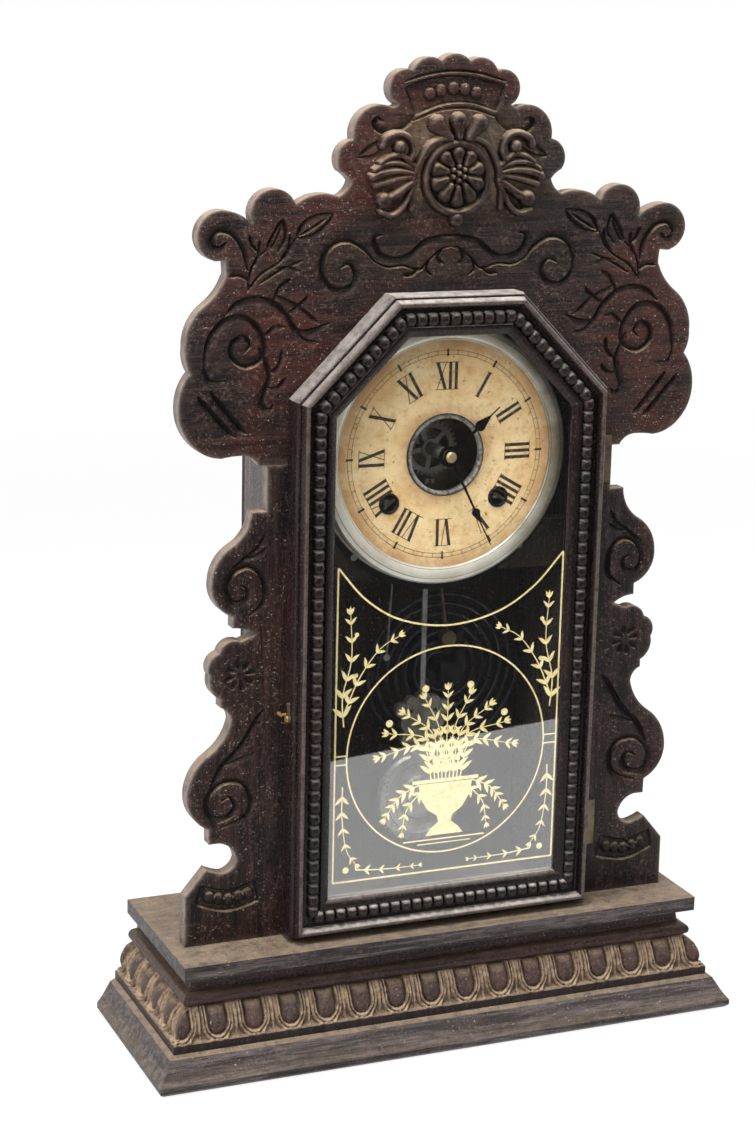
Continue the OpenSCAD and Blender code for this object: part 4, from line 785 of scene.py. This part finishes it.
def egg_band():
    """Front and sides of the band as one mitred skin round the base's core."""
    rows = band_rows()
    step = 0.55
    front_x = np.arange(-BAND[0][0], BAND[0][0] + step, step)
    corner = FACE - (HALF_FRONT - SETBACK)
    side_y = np.arange(0, BACK_EDGE - corner + SIDE_LEAD + 2, step)
    core_half, core_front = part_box("base_box")[1].x / MM - 0.5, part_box("base_box")[0].y / MM + 0.5
    out, drop = CUT_WAY
    points, painted_shade, dust_and_highlight = [], [], []
    for half, up in rows:
        front_y = FACE - (half - SETBACK)
        x = np.clip(front_x, -half, half)
        y = np.clip(corner - SIDE_LEAD + side_y, front_y, BACK_EDGE)
        in_band = float(unit((up - BAND_GROUND) / 0.9))
        front_egg, front_rim = egg_rise(x + EGG_PITCH / 2, up)
        side_egg, side_rim = egg_rise(y - corner - SIDE_SHIFT, up)
        front_down = BAND_RELIEF * (1 - np.maximum(front_egg, front_rim)) * in_band
        side_down = BAND_RELIEF * (1 - np.maximum(side_egg, side_rim)) * in_band
        points += [(-half + d * out, v, up - d * drop) for v, d in zip(y[::-1], side_down[::-1])]
        points += [(v, front_y + d * out, up - d * drop) for v, d in zip(x, front_down)]
        points += [(half - d * out, v, up - d * drop) for v, d in zip(y, side_down)]
        egg = np.concatenate([side_egg[::-1], front_egg, side_egg])
        rim = np.concatenate([side_rim[::-1], front_rim, side_rim])
        # Dust on the ground and the rims, the rims' pale line partly a painted highlight; painted shade on the
        # ground between eggs and rims, and on the fillet below the band
        dust_and_highlight += list(np.where(egg > 0.25, 0.05, np.where(rim > 0.35, 0.7, 0.4)) * in_band)
        painted_shade += list(np.where((egg < 0.25) & (rim < 0.3), 0.85, 0.6 * (1 - in_band)))
    width, count = len(points) // len(rows), len(rows)
    faces = skin(count, width)
    top, low_core, high_core = (count - 1) * width, count * width, (count + 1) * width
    for up in (rows[0][1], rows[-1][1]):
        points += [(np.clip(x, -core_half, core_half), max(y, core_front), up) for x, y, _ in points[:width]]
    for c in range(width - 1):
        faces.append((c + 1, c, low_core + c, low_core + c + 1))
        faces.append((top + c, top + c + 1, high_core + c + 1, high_core + c))
        faces.append((low_core + c + 1, low_core + c, high_core + c, high_core + c + 1))
    left_end = [r * width for r in range(count)]
    faces.append(tuple(left_end + [high_core, low_core]))
    faces.append(tuple(i + width - 1 for i in left_end[::-1] + [low_core, high_core]))
    marks = {"painted_shade": painted_shade + [0.0] * 2 * width, "dust_and_highlight": dust_and_highlight + [0.0] * 2 * width}
    return piece("egg_and_dart", points, faces, band_wood, "case", ["egg_band"], marks, 60)


egg_band()


# Door frame: six mitred lengths of moulding with a row of turned beads

# Corners of the door's outline, and the lengths of moulding that start at each
DOOR_CORNERS = np.array([[95.5, 70.5], [95.5, 384.5], [39.5, 441.3],
                         [-39.5, 441.3], [-95.5, 384.5], [-95.5, 70.5]])
DOOR_MEMBERS = ["door_right_stile", "door_right_diagonal", "door_top_rail", "door_left_diagonal",
                "door_left_stile", "door_bottom_rail"]
# Spacing of the beads, their inset from the door's edge, and the rows of points to one bead
BEAD_PITCH, BEAD_INSET, STATIONS = 7.0, 13.25, 14
# Insets between which the groove, the beads and the inner rebate lie, painted dark as shade in the groove,
# between the beads and by the glass, and the outer crest, made lighter for wear and as a painted highlight
GROOVE, BEADS, INNER = (7.2, 9.4), (9.4, 17.1), 17.1
REBATE_DEPTH, CREST_DEPTH, CREST_INSET = -16.5, -19.2, 8


def corner_at(i, inset):
    """Corner i of the door's outline moved in by the inset."""
    here = DOOR_CORNERS[i % 6]
    before = here - DOOR_CORNERS[(i - 1) % 6]
    after = DOOR_CORNERS[(i + 1) % 6] - here
    n1 = np.array([-before[1], before[0]]) / np.hypot(*before)
    n2 = np.array([-after[1], after[0]]) / np.hypot(*after)
    return here + inset * (n1 + n2) / (1 + n1 @ n2)


def door_profile(swell):
    """Inset and depth of the moulding. swell is 1 at the middle of a bead and 0 between two beads."""
    # Outer side and its rounding, crest, groove, bead, inner slope, and the rebate for the glass
    shape = [(0.0, -0.3), (0.0, -6.0), (0.0, -12.0)]
    shape += [(2 - 2 * math.cos(a), -12 - 2.8 * math.sin(a)) for a in np.linspace(0.2, math.pi / 2, 6)]
    shape += [(4.6 - 2.4 * math.cos(a), -14.6 - 5.4 * math.sin(a)) for a in np.linspace(0, math.pi, 17)]
    shape += [(7.4, -14.3), (8.4, -14.2), (9.3, -14.8)]
    half, rise = 2.2 + 1.55 * swell, 0.9 + 3.4 * swell
    shape += [(BEAD_INSET - half * math.cos(a), -14.8 - rise * math.sin(a)) for a in np.linspace(0, math.pi, 13)]
    shape += [(17.2, -15.0), (17.5, -17.0), (18.3, -17.1), (20.5, -16.4), (22.6, -14.8), (23.0, -14.4)]
    shape += [(23.0, -14.0), (18.0, -14.0), (18.0, -0.3)]
    return shape


def door_shade(inset, depth, swell):
    """Painted shade in the moulding's hollows: between the beads, in the groove and by the glass."""
    if BEADS[0] < inset < BEADS[1]:
        return 0.9 * (1 - swell)
    return 0.75 if GROOVE[0] < inset < GROOVE[1] or inset > INNER and depth < REBATE_DEPTH else 0.0


def door_member(i):
    """One length of moulding, square across and cut at its mitres, with a whole number of beads."""
    start, end = DOOR_CORNERS[i], DOOR_CORNERS[(i + 1) % 6]
    way = (end - start) / np.hypot(*(end - start))
    across = np.array([-way[1], way[0]])
    def ends_at(inset):
        return (corner_at(i, inset) - start) @ way, (corner_at(i + 1, inset) - start) @ way
    first, last = ends_at(BEAD_INSET)
    beads = max(4, round((last - first) / BEAD_PITCH))
    pitch = (last - first) / beads
    low, high = ends_at(0)
    before, after = int(np.ceil((first - low) / 2)), int(np.ceil((high - last) / 2))
    stations = np.concatenate([np.linspace(low, first, before, endpoint=False),
                               np.linspace(first, last, beads * STATIONS, endpoint=False),
                               np.linspace(last, high, after + 1)])
    points, painted_shade, edge = [], [], []
    for at in stations:
        phase = ((at - first) / pitch) % 1
        swell = (1 - abs(2 * phase - 1) ** 2.5) ** 0.5 if first - 1e-6 <= at < last else 0.0
        for inset, depth in door_profile(swell):
            x, z = start + across * inset + way * np.clip(at, *ends_at(inset))
            points.append((x, FACE + depth, z))
            painted_shade.append(door_shade(inset, depth, swell))
            # The outer crest is lighter: wear, and a painted highlight
            edge.append(0.3 if depth < CREST_DEPTH and inset < CREST_INSET else 0.0)
    name = DOOR_MEMBERS[i]
    wood = stile_wood if "stile" in name else rail_wood
    return piece("moulded_" + name, points, tube(len(stations), len(door_profile(0))), wood, "door", [name],
                 {"painted_shade": painted_shade, "edge": edge}, 50)


for member in range(6):
    door_member(member)


# Applied rosette: a relief made as a height over the board, the highest of all its parts

def lobe(points, a, b, width_a, width_b, rise, groove=0.0):
    """A rounded leaf or bud from a to b, with an optional groove along its middle."""
    a, b = np.array(a, float), np.array(b, float)
    along = unit(((points - a) @ (b - a)) / ((b - a) @ (b - a)))
    off = np.linalg.norm(points - (a + along[:, None] * (b - a)), axis=1)
    width = width_a + (width_b - width_a) * along
    share = unit(1 - (off / width) ** 2)
    found = rise * np.sqrt(share)
    if groove:
        found = found - groove * unit(1 - off / (0.32 * width))
    return np.where(share > 0, found, -1.0)


def ring_rise(points, centre, radius, half, rise):
    """A ring of half-round section."""
    off = np.abs(np.hypot(points[:, 0] - centre[0], points[:, 1] - centre[1]) - radius) / half
    return np.where(off < 1, rise * dome(off), -1.0)


def strand(points, knots, wide, rise):
    """A rounded stem along a curved path. wide and rise are each given at its two ends."""
    path = spline(knots, 0.4)
    chosen, gap, which, _ = nearest(points, path, max(wide))
    along = which / (len(path) - 1)
    share = 1 - (gap / (wide[0] + (wide[1] - wide[0]) * along)) ** 2
    top = (rise[0] + (rise[1] - rise[0]) * along) * np.sqrt(unit(share))
    found = np.full(len(points), -1.0)
    found[chosen] = np.where(share > 0, top, -1.0)
    return found


def knob(points, centre, radius, rise):
    return lobe(points, centre, (centre[0], centre[1] + 0.01), radius, radius, rise)


# Stems at one side of the rosette: knots from its middle, then width and rise at both ends
STEMS = [
    ([[5.5, 22.0], [12.0, 21.6], [18.6, 17.6], [23.4, 9.5], [26.4, 0.5], [27.4, -8.0], [27.2, -16.0]],
     (1.8, 2.0), (5.0, 3.6)),
    ([[25, 6], [33, 12.6], [41, 12.4], [46.5, 9.0]], (1.4, 1.9), (3.6, 4.4)),
    ([[25, 4.5], [35, 8.8], [44, 8.2], [50, 5.2]], (1.4, 2.0), (3.6, 4.8)),
    ([[25, 3], [36, 4.6], [45, 3.6], [51, 1.6]], (1.5, 2.7), (3.8, 5.4)),
    ([[25, 1.5], [35, 0.4], [44, -1.8], [49, -3.2]], (1.5, 2.0), (3.6, 4.4)),
    ([[25.5, -1], [31, -4.5], [37, -8.5], [42, -11]], (2.2, 2.8), (4.2, 5.0)),
    ([[26, -3], [29.5, -10], [33.5, -16], [39, -19.4], [45.5, -17.6]], (1.9, 1.7), (4.2, 4.6)),
    ([[45.5, 18.5], [43.0, 22.8], [35.5, 25.0], [29.0, 22.0], [26.8, 15.5], [29.0, 10.5]],
     (2.2, 1.8), (4.6, 4.4)),
    ([[33.5, 13.5], [30.5, 10.5], [27.5, 7.5]], (1.2, 1.4), (4.0, 4.0)),
]
HEART = np.array([0.2, 3.2])
PETAL_STEP = 36


def rosette_height(points):
    """An open flower in a ring, three leaves above it and a group of leaves at each side."""
    p = points - ROSETTE
    parts = [np.minimum(knob(p, (0, 0), 19.5, 1.0), 0.6), ring_rise(p, (0, 0), 19.0, 2.4, 4.4)]
    parts += [knob(p, HEART + 3.9 * np.array([math.sin(a), math.cos(a)]), 1.8, 6.4)
              for a in np.linspace(0, 2 * math.pi, 7)[:-1]]
    parts += [knob(p, HEART, 2.0, 6.8), knob(p, (0, -22), 4.4, 6.0),
              lobe(p, (0, 23.5), (0, 31.4), 2.6, 5.3, 6.0, 1.0)]
    for turn in range(0, 360, PETAL_STEP):
        way = np.array([math.sin(math.radians(turn)), math.cos(math.radians(turn))])
        parts.append(lobe(p, HEART * 0.4 + 13.0 * way, HEART * 0.7 + 7.2 * way, 4.3, 2.0, 5.6, 0.5))
    for s in (-1, 1):
        parts.append(lobe(p, (s * 5.4, 22.8), (s * 12.8, 30.0), 2.6, 5.5, 6.0))
        parts += [strand(p, [[s * x, z] for x, z in knots], wide, rise) for knots, wide, rise in STEMS]
        parts += [knob(p, (s * 35.2, 17.8), 3.9, 6.0), knob(p, (s * 43.6, -11.4), 5.0, 6.0)]
    return np.maximum.reduce(parts)


def softened(grid, cells):
    """The grid averaged over a square reaching so many cells each way, three times over."""
    for axis in (0, 1) * 3:
        ends = [(cells + 1, cells) if a == axis else (0, 0) for a in (0, 1)]
        total = np.cumsum(np.pad(grid, ends, mode="edge"), axis)
        high = np.take(total, np.arange(2 * cells + 1, total.shape[axis]), axis)
        low = np.take(total, np.arange(0, total.shape[axis] - 2 * cells - 1), axis)
        grid = (high - low) / (2 * cells + 1)
    return grid


def relief(name, material, height_at, lo, hi, step, sink, replaces):
    """Turns a height over the board into a closed piece with its back sunk a little below the board's face."""
    xs = np.arange(lo[0], hi[0] + step, step)
    zs = np.arange(lo[1], hi[1] + step, step)
    across = len(xs)
    grid = np.array([[x, z] for z in zs for x in xs])
    height = height_at(grid)
    ground = np.clip(height, 0, None).reshape(len(zs), across)
    sunken = (softened(ground, 3) - ground).ravel()
    keep = height.reshape(len(zs), across) > -0.5
    cell = keep[:-1, :-1] | keep[1:, :-1] | keep[:-1, 1:] | keep[1:, 1:]
    low = np.flatnonzero(np.pad(cell, ((0, 1), (0, 1))))
    quads = np.stack([low, low + 1, low + across + 1, low + across], 1)
    used = np.zeros(len(grid), bool)
    used[quads.ravel()] = True
    quads = (np.cumsum(used) - 1)[quads]
    top = grid[used]
    level = np.maximum(height[used], -sink * 0.5)
    count = len(top)
    faces = [tuple(q) for q in quads] + [tuple(q[::-1] + count) for q in quads]
    edges = {(a, b): True for q in quads for a, b in zip(q, np.roll(q, -1))}
    faces += [(b, a, a + count, b + count) for a, b in edges if (b, a) not in edges]
    # Painted shade in the relief's creases and on its low ground, a faint lighter tone on its raised crests that
    # is wear and a painted highlight, and a little dust round it
    crease = unit(sunken[used] / 0.7) + 0.7 * unit((2.2 - level) / 2.2)
    marks = {"painted_shade": unit(crease), "edge": np.clip(-0.9 - sunken[used], 0, 0.16),
             "dust_and_highlight": 0.08 * dust_round_rosette(top)}
    marks = {mark: np.append(values, np.zeros(count)) for mark, values in marks.items()}
    points = np.vstack([at_depth(top, FACE - level), at_depth(top, FACE + sink)])
    return piece(name, points, faces, material, "case", replaces, marks, 50)


relief("rosette_relief", cast_wood, rosette_height, ROSETTE + [-55, -27.5], ROSETTE + [55, 37.5], 0.42,
       0.6, ["crown_rosette"])


# Dial printing: Roman hours and a minute ring

def bar(a, b, width):
    """Corners of a straight bar from a to b."""
    a, b = np.array(a, float), np.array(b, float)
    way = (b - a) / np.hypot(*(b - a))
    off = np.array([-way[1], way[0]]) * width / 2
    return [a + off, b + off, b - off, a - off]


def printed(name, shapes, depths, material, body):
    """Flat printed shapes as one piece, each at its own depth."""
    points, faces = [], []
    for corners, depth in zip(shapes, depths):
        faces.append(tuple(range(len(points), len(points) + len(corners))))
        points += [(p[0], depth, p[1]) for p in corners]
    return piece(name, points, faces, material, body, closed=False)


# Thick and thin strokes of the figures, their height, and the widths of the letters
THICK, THIN, TALL = 1.9, 0.5, 15.5
WIDTHS = {"I": 3.6, "V": 7.0, "X": 7.4}
HOURS = "XII I II III IIII V VI VII VIII IX X XI".split()
# Radii of the figures' feet, of the minute ring's two lines and of the hours' ticks, and half a line's width
FIGURE_FOOT, MINUTE_RING, HOUR_TICK, LINE_HALF = 37.6, (57.6, 60.0), (56.6, 61.0), 0.14
# Widths of a minute's and an hour's tick, and how far the ink stands off the paper
MINUTE_WIDE, HOUR_WIDE, PRINT_RISE = 0.28, 1.3, 0.05


def letter(kind):
    """Bars of one letter, across from 0 to its width and up from 0 to its height."""
    wide = WIDTHS[kind]
    middle = wide / 2
    if kind == "I":
        return [bar((middle, 0), (middle, TALL), THICK)]
    if kind == "V":
        return [bar((1.2, TALL), (middle, 0), THICK), bar((wide - 0.9, TALL), (middle + 0.3, 0), THIN)]
    return [bar((1.2, TALL), (wide - 1.2, 0), THICK), bar((wide - 1.0, TALL), (1.0, 0), THIN)]


def hour_figure(number, word):
    """One hour with its foot to the centre, and a thin line at its head and foot."""
    turn = -math.radians(30 * number)
    cos, sin = math.cos(turn), math.sin(turn)
    half = sum(WIDTHS[c] for c in word) / 2
    shapes, at = [], -half
    for c in word:
        shapes += [[(x + at, z) for x, z in corners] for corners in letter(c)]
        at += WIDTHS[c]
    shapes += [bar((-half + 0.1, z), (half - 0.1, z), 0.4) for z in (0, TALL)]
    return [[(DIAL_X + x * cos - (z + FIGURE_FOOT) * sin, DIAL_Z + x * sin + (z + FIGURE_FOOT) * cos)
             for x, z in corners] for corners in shapes]


def dial_figures():
    """Roman hours round the dial, and the minute ring with its ticks."""
    shapes = []
    for number, word in enumerate(HOURS):
        shapes += hour_figure(number, word)
    centre = np.array([DIAL_X, DIAL_Z])
    for minute in range(60):
        angle = math.radians(6 * minute)
        low, high = MINUTE_RING if minute % 5 else HOUR_TICK
        way = np.array([math.sin(angle), math.cos(angle)])
        shapes.append(bar(centre + way * low, centre + way * high, MINUTE_WIDE if minute % 5 else HOUR_WIDE))
    for radius in MINUTE_RING:
        for k in range(180):
            arc = np.radians([2 * k, 2 * k + 2])
            shapes.append([*round_points(centre, radius - LINE_HALF, arc),
                           *round_points(centre, radius + LINE_HALF, arc[::-1])])
    return printed("dial_figures", shapes, [PAPER - PRINT_RISE] * len(shapes), ink, "case")


dial_figures()


# Gilt printing on the glass: a plain border, an arc, a circle and leafy sprays

# The print lies just off the glass, and overlapping shapes lie in layers
PRINT_Y, LAYER, LAYERS = GLASS_BACK + 0.04, 0.0004, 40
BORDER_LEFT, BORDER_RIGHT, BORDER_LOW, BORDER_HIGH = -69.2, 71.4, 102.0, 289.5
CIRCLE, CIRCLE_RADIUS = (0.6, 176.0), 62.6
BORDER_LINE, CIRCLE_LINE, TIE_LINE = 1.1, 1.0, 0.9
FERNS = 9


def ribbon(path, width):
    """Quads of a flat line of this width along the path."""
    path = np.asarray(path, float)
    way = np.gradient(path, axis=0)
    across = np.stack([-way[:, 1], way[:, 0]], 1) / np.hypot(*way.T)[:, None]
    off = across * np.broadcast_to(width, len(path))[:, None] / 2
    return [[path[i] + off[i], path[i + 1] + off[i + 1], path[i + 1] - off[i + 1], path[i] - off[i]]
            for i in range(len(path) - 1)]


def leaf_shape(root, angle, length, width, bend=0.15):
    """A pointed leaf, a little curved."""
    t = np.linspace(0, 1, 9)
    half = width / 2 * np.sin(math.pi * t**0.8)
    across = bend * length * t * (1 - t)
    upper = np.stack([t * length, across + half], 1)
    lower = np.stack([t * length, across - half], 1)[::-1]
    outline = np.vstack([upper, lower[1:-1]])
    cos, sin = math.cos(angle), math.sin(angle)
    return [np.array(root) + [x * cos - z * sin, x * sin + z * cos] for x, z in outline]


def spray(knots, leaves, length):
    """A stem with leaves in pairs that grow smaller to the tip, which ends in a bud."""
    path = spline(knots, 1.0)
    shapes = ribbon(path, np.linspace(0.9, 0.45, len(path)))
    for k in range(leaves):
        at = int((k + 0.6) / leaves * (len(path) - 2))
        way = path[at + 1] - path[at]
        heading = math.atan2(way[1], way[0])
        size = length * (1 - 0.45 * k / leaves)
        for side in (-1, 1):
            shapes.append(leaf_shape(path[at], heading + side * 0.72, size, size * 0.3, -0.2 * side))
    way = path[-1] - path[-3]
    heading = math.atan2(way[1], way[0])
    for turn in (-0.5, 0.0, 0.5):
        shapes.append(leaf_shape(path[-1], heading + turn, length * 0.55, length * 0.2))
    return shapes


def disc(centre, radius):
    return round_points(centre, radius, np.linspace(0, 2 * math.pi, 14, endpoint=False))


# Knots, pairs of leaves and leaf length of the sprays: in the corners, measured from the border's side
CORNER_SPRAYS = [
    ([[5, 196], [4, 214], [9, 236], [8, 262]], 6, 9), ([[5, 204], [14, 224], [26, 240], [38, 247]], 5, 8),
    ([[5, 160], [5, 142], [8, 122], [14, 112]], 5, 7),
    ([[14, 108.5], [30, 107], [44, 106.6], [54, 106.6]], 4, 5),
]
# Place and radius of the buds among them
CORNER_BUDS = ((12, 226, 1.3), (12, 250, 1.3), (8, 109, 2.0))
# The same for the sprays that hang over the bowl, measured from the circle's middle
BOWL_SPRAYS = [([[17, 156], [29, 150], [38, 138]], 5, 8), ([[13, 154], [24, 142], [27, 128]], 4, 7)]
# Outline of the bowl, and half length, height and width of its rims
BOWL = [[-17, 156], [17, 156], [16, 148], [11, 140], [5, 136], [4, 132], [9, 128], [12, 124], [-12, 124],
        [-9, 128], [-4, 132], [-5, 136], [-11, 140], [-16, 148]]
BOWL_RIMS = ((21, 157.5, 2.2), (26, 121.5, 0.9), (17, 119, 0.7))


def glass_print():
    """Border, arc and circle, sprays in the corners, and a footed bowl of ferns in the circle."""
    middle = CIRCLE[0]
    corners = [[BORDER_LEFT, BORDER_HIGH], [BORDER_LEFT, BORDER_LOW], [BORDER_RIGHT, BORDER_LOW],
               [BORDER_RIGHT, BORDER_HIGH]]
    shapes = [bar(a, b, BORDER_LINE) for a, b in zip(corners, corners[1:])]
    arc = [[-52, 270], [-30, 256.5], [0, 251], [30, 256.5], [53, 270]]
    shapes += ribbon(spline([corners[0], *arc, corners[-1]], 2), BORDER_LINE)
    shapes += ribbon(round_points(CIRCLE, CIRCLE_RADIUS, np.linspace(0, 2 * math.pi, 161)), CIRCLE_LINE)
    for s, x in ((-1, BORDER_LEFT), (1, BORDER_RIGHT)):
        inner = middle + s * (CIRCLE_RADIUS + 0.4)
        shapes += [bar((inner, z), (x, z), TIE_LINE) for z in (CIRCLE[1] - 2.6, CIRCLE[1] + 2.6)]
        for knots, leaves, length in CORNER_SPRAYS:
            shapes += spray([[x - s * off, z] for off, z in knots], leaves, length)
        shapes += [disc((x - s * off, z), radius) for off, z, radius in CORNER_BUDS]
    shapes.append([[middle + x, z] for x, z in BOWL])
    shapes += [bar((middle - half, z), (middle + half, z), wide) for half, z, wide in BOWL_RIMS]
    for k in range(FERNS):
        lean = 2 * k / (FERNS - 1) - 1
        tip = [middle + 43 * math.sin(lean * 1.35), 160 + 52 * math.cos(lean * 1.1) - 8 * abs(lean)]
        knee = [middle + 20 * math.sin(lean * 0.9), 160 + 28 * math.cos(lean * 0.8)]
        shapes += spray([[middle + 9 * lean, 158], knee, tip], 5 if k % 2 else 7, 9)
        if k % 2:
            shapes.append(disc((tip[0], tip[1] + 6), 2.2))
    for s in (-1, 1):
        for knots, leaves, length in BOWL_SPRAYS:
            shapes += spray([[middle + s * x, z] for x, z in knots], leaves, length)
    depths = [PRINT_Y + LAYER * (k % LAYERS) for k in range(len(shapes))]
    return printed("gilt_border_and_sprays", shapes, depths, gilt, "door")


glass_print()


# Gong wire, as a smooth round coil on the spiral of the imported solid

BACK_BOARD_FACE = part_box("back_board")[0].y / MM
# The coil's middle: how far it stands out from the back board, and its height above the base
GONG_STANDS_OUT, GONG_HEIGHT = 22, 137
GONG_X, GONG_Z, GONG_Y = 24.0, BASE_TOP + GONG_HEIGHT, BACK_BOARD_FACE - GONG_STANDS_OUT
# Outer and inner radius of the spiral, its turns, the wire's width, and the bend and tail at its inner end
GONG_RADIUS, GONG_START, GONG_TURNS, GONG_WIRE, GONG_BEND, GONG_TAIL = 51.0, 9.0, 7, 2.2, 5.0, 8.0
GONG_STEPS, GONG_SIDES = 48, 14


def gong():
    """The coil with its inner end bent back into the stand."""
    pitch = (GONG_RADIUS - GONG_START) / GONG_TURNS
    inner = np.array([GONG_X + GONG_START, GONG_Y, GONG_Z])
    path = [inner + [0, GONG_BEND + GONG_TAIL, -GONG_BEND], inner + [0, GONG_BEND + 2, -GONG_BEND]]
    for b in np.radians(15 * np.arange(6)):
        path.append(inner + [0, GONG_BEND * (1 - math.sin(b)), -GONG_BEND * math.cos(b)])
    for step in range(GONG_TURNS * GONG_STEPS + 1):
        a = 2 * math.pi * step / GONG_STEPS
        r = GONG_START + pitch * a / (2 * math.pi)
        path.append(np.array([GONG_X + r * math.cos(a), GONG_Y, GONG_Z + r * math.sin(a)]))
    way = np.gradient(np.array(path), axis=0)
    way /= np.linalg.norm(way, axis=1)[:, None]
    first = np.cross(way, [0, 1.0, 0.001])
    first /= np.linalg.norm(first, axis=1)[:, None]
    points = []
    for p, u, v in zip(path, first, np.cross(way, first)):
        points += [p + GONG_WIRE / 2 * (math.cos(t) * u + math.sin(t) * v)
                   for t in np.linspace(0, 2 * math.pi, GONG_SIDES, endpoint=False)]
    return piece("gong_wire_coil", points, tube(len(path), GONG_SIDES), blue_steel, "case", ["gong_coil"])


gong()


# Materials of the carried-over solids

FINISH = [
    (shadowed_neck_wood, "base_box"), (base_wood, "foot_moulding base_plate"), (strip_wood, "bead_moulding"),
    (rail_wood, "front_bottom_rail"), (lit_case_wood, "case_side_left case_side_right case_top glass_strips"),
    (back_wood, "back_board dial_blocks"), (dial_nickel, "dial_pan"), (paper, "dial_paper"),
    (eyelet_metal, "dial_eyelets"), (glass, "door_glass"), (hand_black, "hour_hand minute_hand"),
    (nut_metal, "hand_nut"), (hub_steel, "hour_wheel minute_wheel"), (bob_nickel, "pendulum_bob"),
    (brass, "catch_screw catch_eye cannon_pinion escape_wheel"), (blue_steel, "mainsprings"),
    (aged_shaded_brass, "door_hinge_leaves case_hinge_leaves catch_hook front_plate back_plate time_great_wheel fly"),
    (aged_shaded_brass, "second_wheel centre_wheel third_wheel strike_great_wheel lifting_wheel gong_hammer"),
    (steel, "wood_screws movement_pillars plate_studs time_winding_arbor verge pendulum_rod trip_wire"),
    (steel, "strike_winding_arbor"), (dark_iron, "gong_stand"),
]
for finish, names in FINISH:
    for node in names.split():
        slots = nodes[node].data.materials
        if not len(slots):
            slots.append(finish)
        for i in range(len(slots)):
            slots[i] = finish


# Studio

# Strength of the world on the object, where the camera sees white
AMBIENT = 0.28


def grey(level):
    return (level, level, level, 1)


def staged(name, corners, material):
    """One flat sheet of the studio."""
    mesh = bpy.data.meshes.new(name)
    mesh.from_pydata(corners, [], [(0, 1, 2, 3)])
    mesh.materials.append(material)
    made = named_object(name, mesh)
    return made


def floor(reach=40.0):
    """Pale floor that keeps the object's shadow and fades to white away from it, as the camera sees it."""
    g = Graph("pale_floor")
    g.surface(g.mix(g.noise(3, 3, 0.5), grey(0.86), grey(0.9)), 0.9, Specular_IOR_Level=0.1)
    fade = g.span(g.length(g.place), 0.5, 2.2, 0.8, 1.0)
    g.give_way(g.times(g.seen(), fade), g.node("ShaderNodeEmission", {"Strength": 1.0}))
    staged("studio_floor", [(-reach, -reach, 0), (reach, -reach, 0), (reach, reach, 0), (-reach, reach, 0)],
           g.material)


def dark_card():
    """A low black card in front of the clock, which only reflections see, as past a table's edge."""
    g = Graph("black_card")
    g.surface(g.mix(g.noise(5), grey(0.004), grey(0.01)), 1.0)
    left, right = (-0.6, -0.375), (1.6, -0.815)
    card = staged("studio_card", [(*left, 0.001), (*right, 0.001), (*right, 1.0), (*left, 1.0)], g.material)
    card.visible_camera = card.visible_diffuse = card.visible_shadow = False


def world():
    """Even pale light, white to the camera and to what mirrors or lets through."""
    made = bpy.data.worlds.new("studio_world")
    bpy.context.scene.world = made
    made.use_nodes = True
    light = Nodes(made.node_tree)
    back = made.node_tree.nodes["Background"].inputs
    light.put(back["Color"], grey(1))
    light.put(back["Strength"], light.span(light.seen(), 0.0, 1.0, AMBIENT, 1.0))


def lamp(name, place, power, size, aim=(0, 0, 0.3)):
    """A square area light turned towards its aim."""
    data = bpy.data.lights.new(name, "AREA")
    data.energy = power
    data.size = size
    made = named_object(name, data)
    made.location = place
    made.rotation_euler = (Vector(aim) - Vector(place)).to_track_quat("-Z", "Y").to_euler()


# Angles of the photograph's view, the point it looks at and its distance in metres, and its lens
AZIMUTH, ELEVATION, ROLL = math.radians(-22.951), math.radians(13.894), math.radians(1.3407)
TARGET, DISTANCE, LENS = Vector((-0.04007, -0.01885, 0.28482)), 1.38329, 77.14


def camera():
    """The photograph's viewing angle, with its slight roll."""
    back = Vector((math.sin(AZIMUTH) * math.cos(ELEVATION), -math.cos(AZIMUTH) * math.cos(ELEVATION),
                   math.sin(ELEVATION)))
    level = (-back).cross(Vector((0, 0, 1))).normalized()
    upright = level.cross(-back)
    right = math.cos(ROLL) * level + math.sin(ROLL) * upright
    top = -math.sin(ROLL) * level + math.cos(ROLL) * upright
    data = bpy.data.cameras.new("photo_camera")
    data.sensor_width, data.lens = 36, LENS
    data.clip_start, data.clip_end = 0.05, 50
    made = named_object("photo_camera", data)
    made.matrix_world = Matrix((right, top, back)).transposed().to_4x4()
    made.location = TARGET + back * DISTANCE
    bpy.context.scene.camera = made


floor()
dark_card()
world()
lamp("soft_left", (-1.9, -0.5, 1.2), 42, 1.3)
lamp("soft_right", (1.8, 0.1, 0.9), 16, 1.2)
lamp("soft_top", (-0.25, -0.3, 1.9), 44, 0.7)
lamp("soft_front", (0.3, -2.2, 0.9), 10, 1.4, (0, 0, 0.28))
camera()

bpy.context.scene.view_settings.view_transform = "Standard"
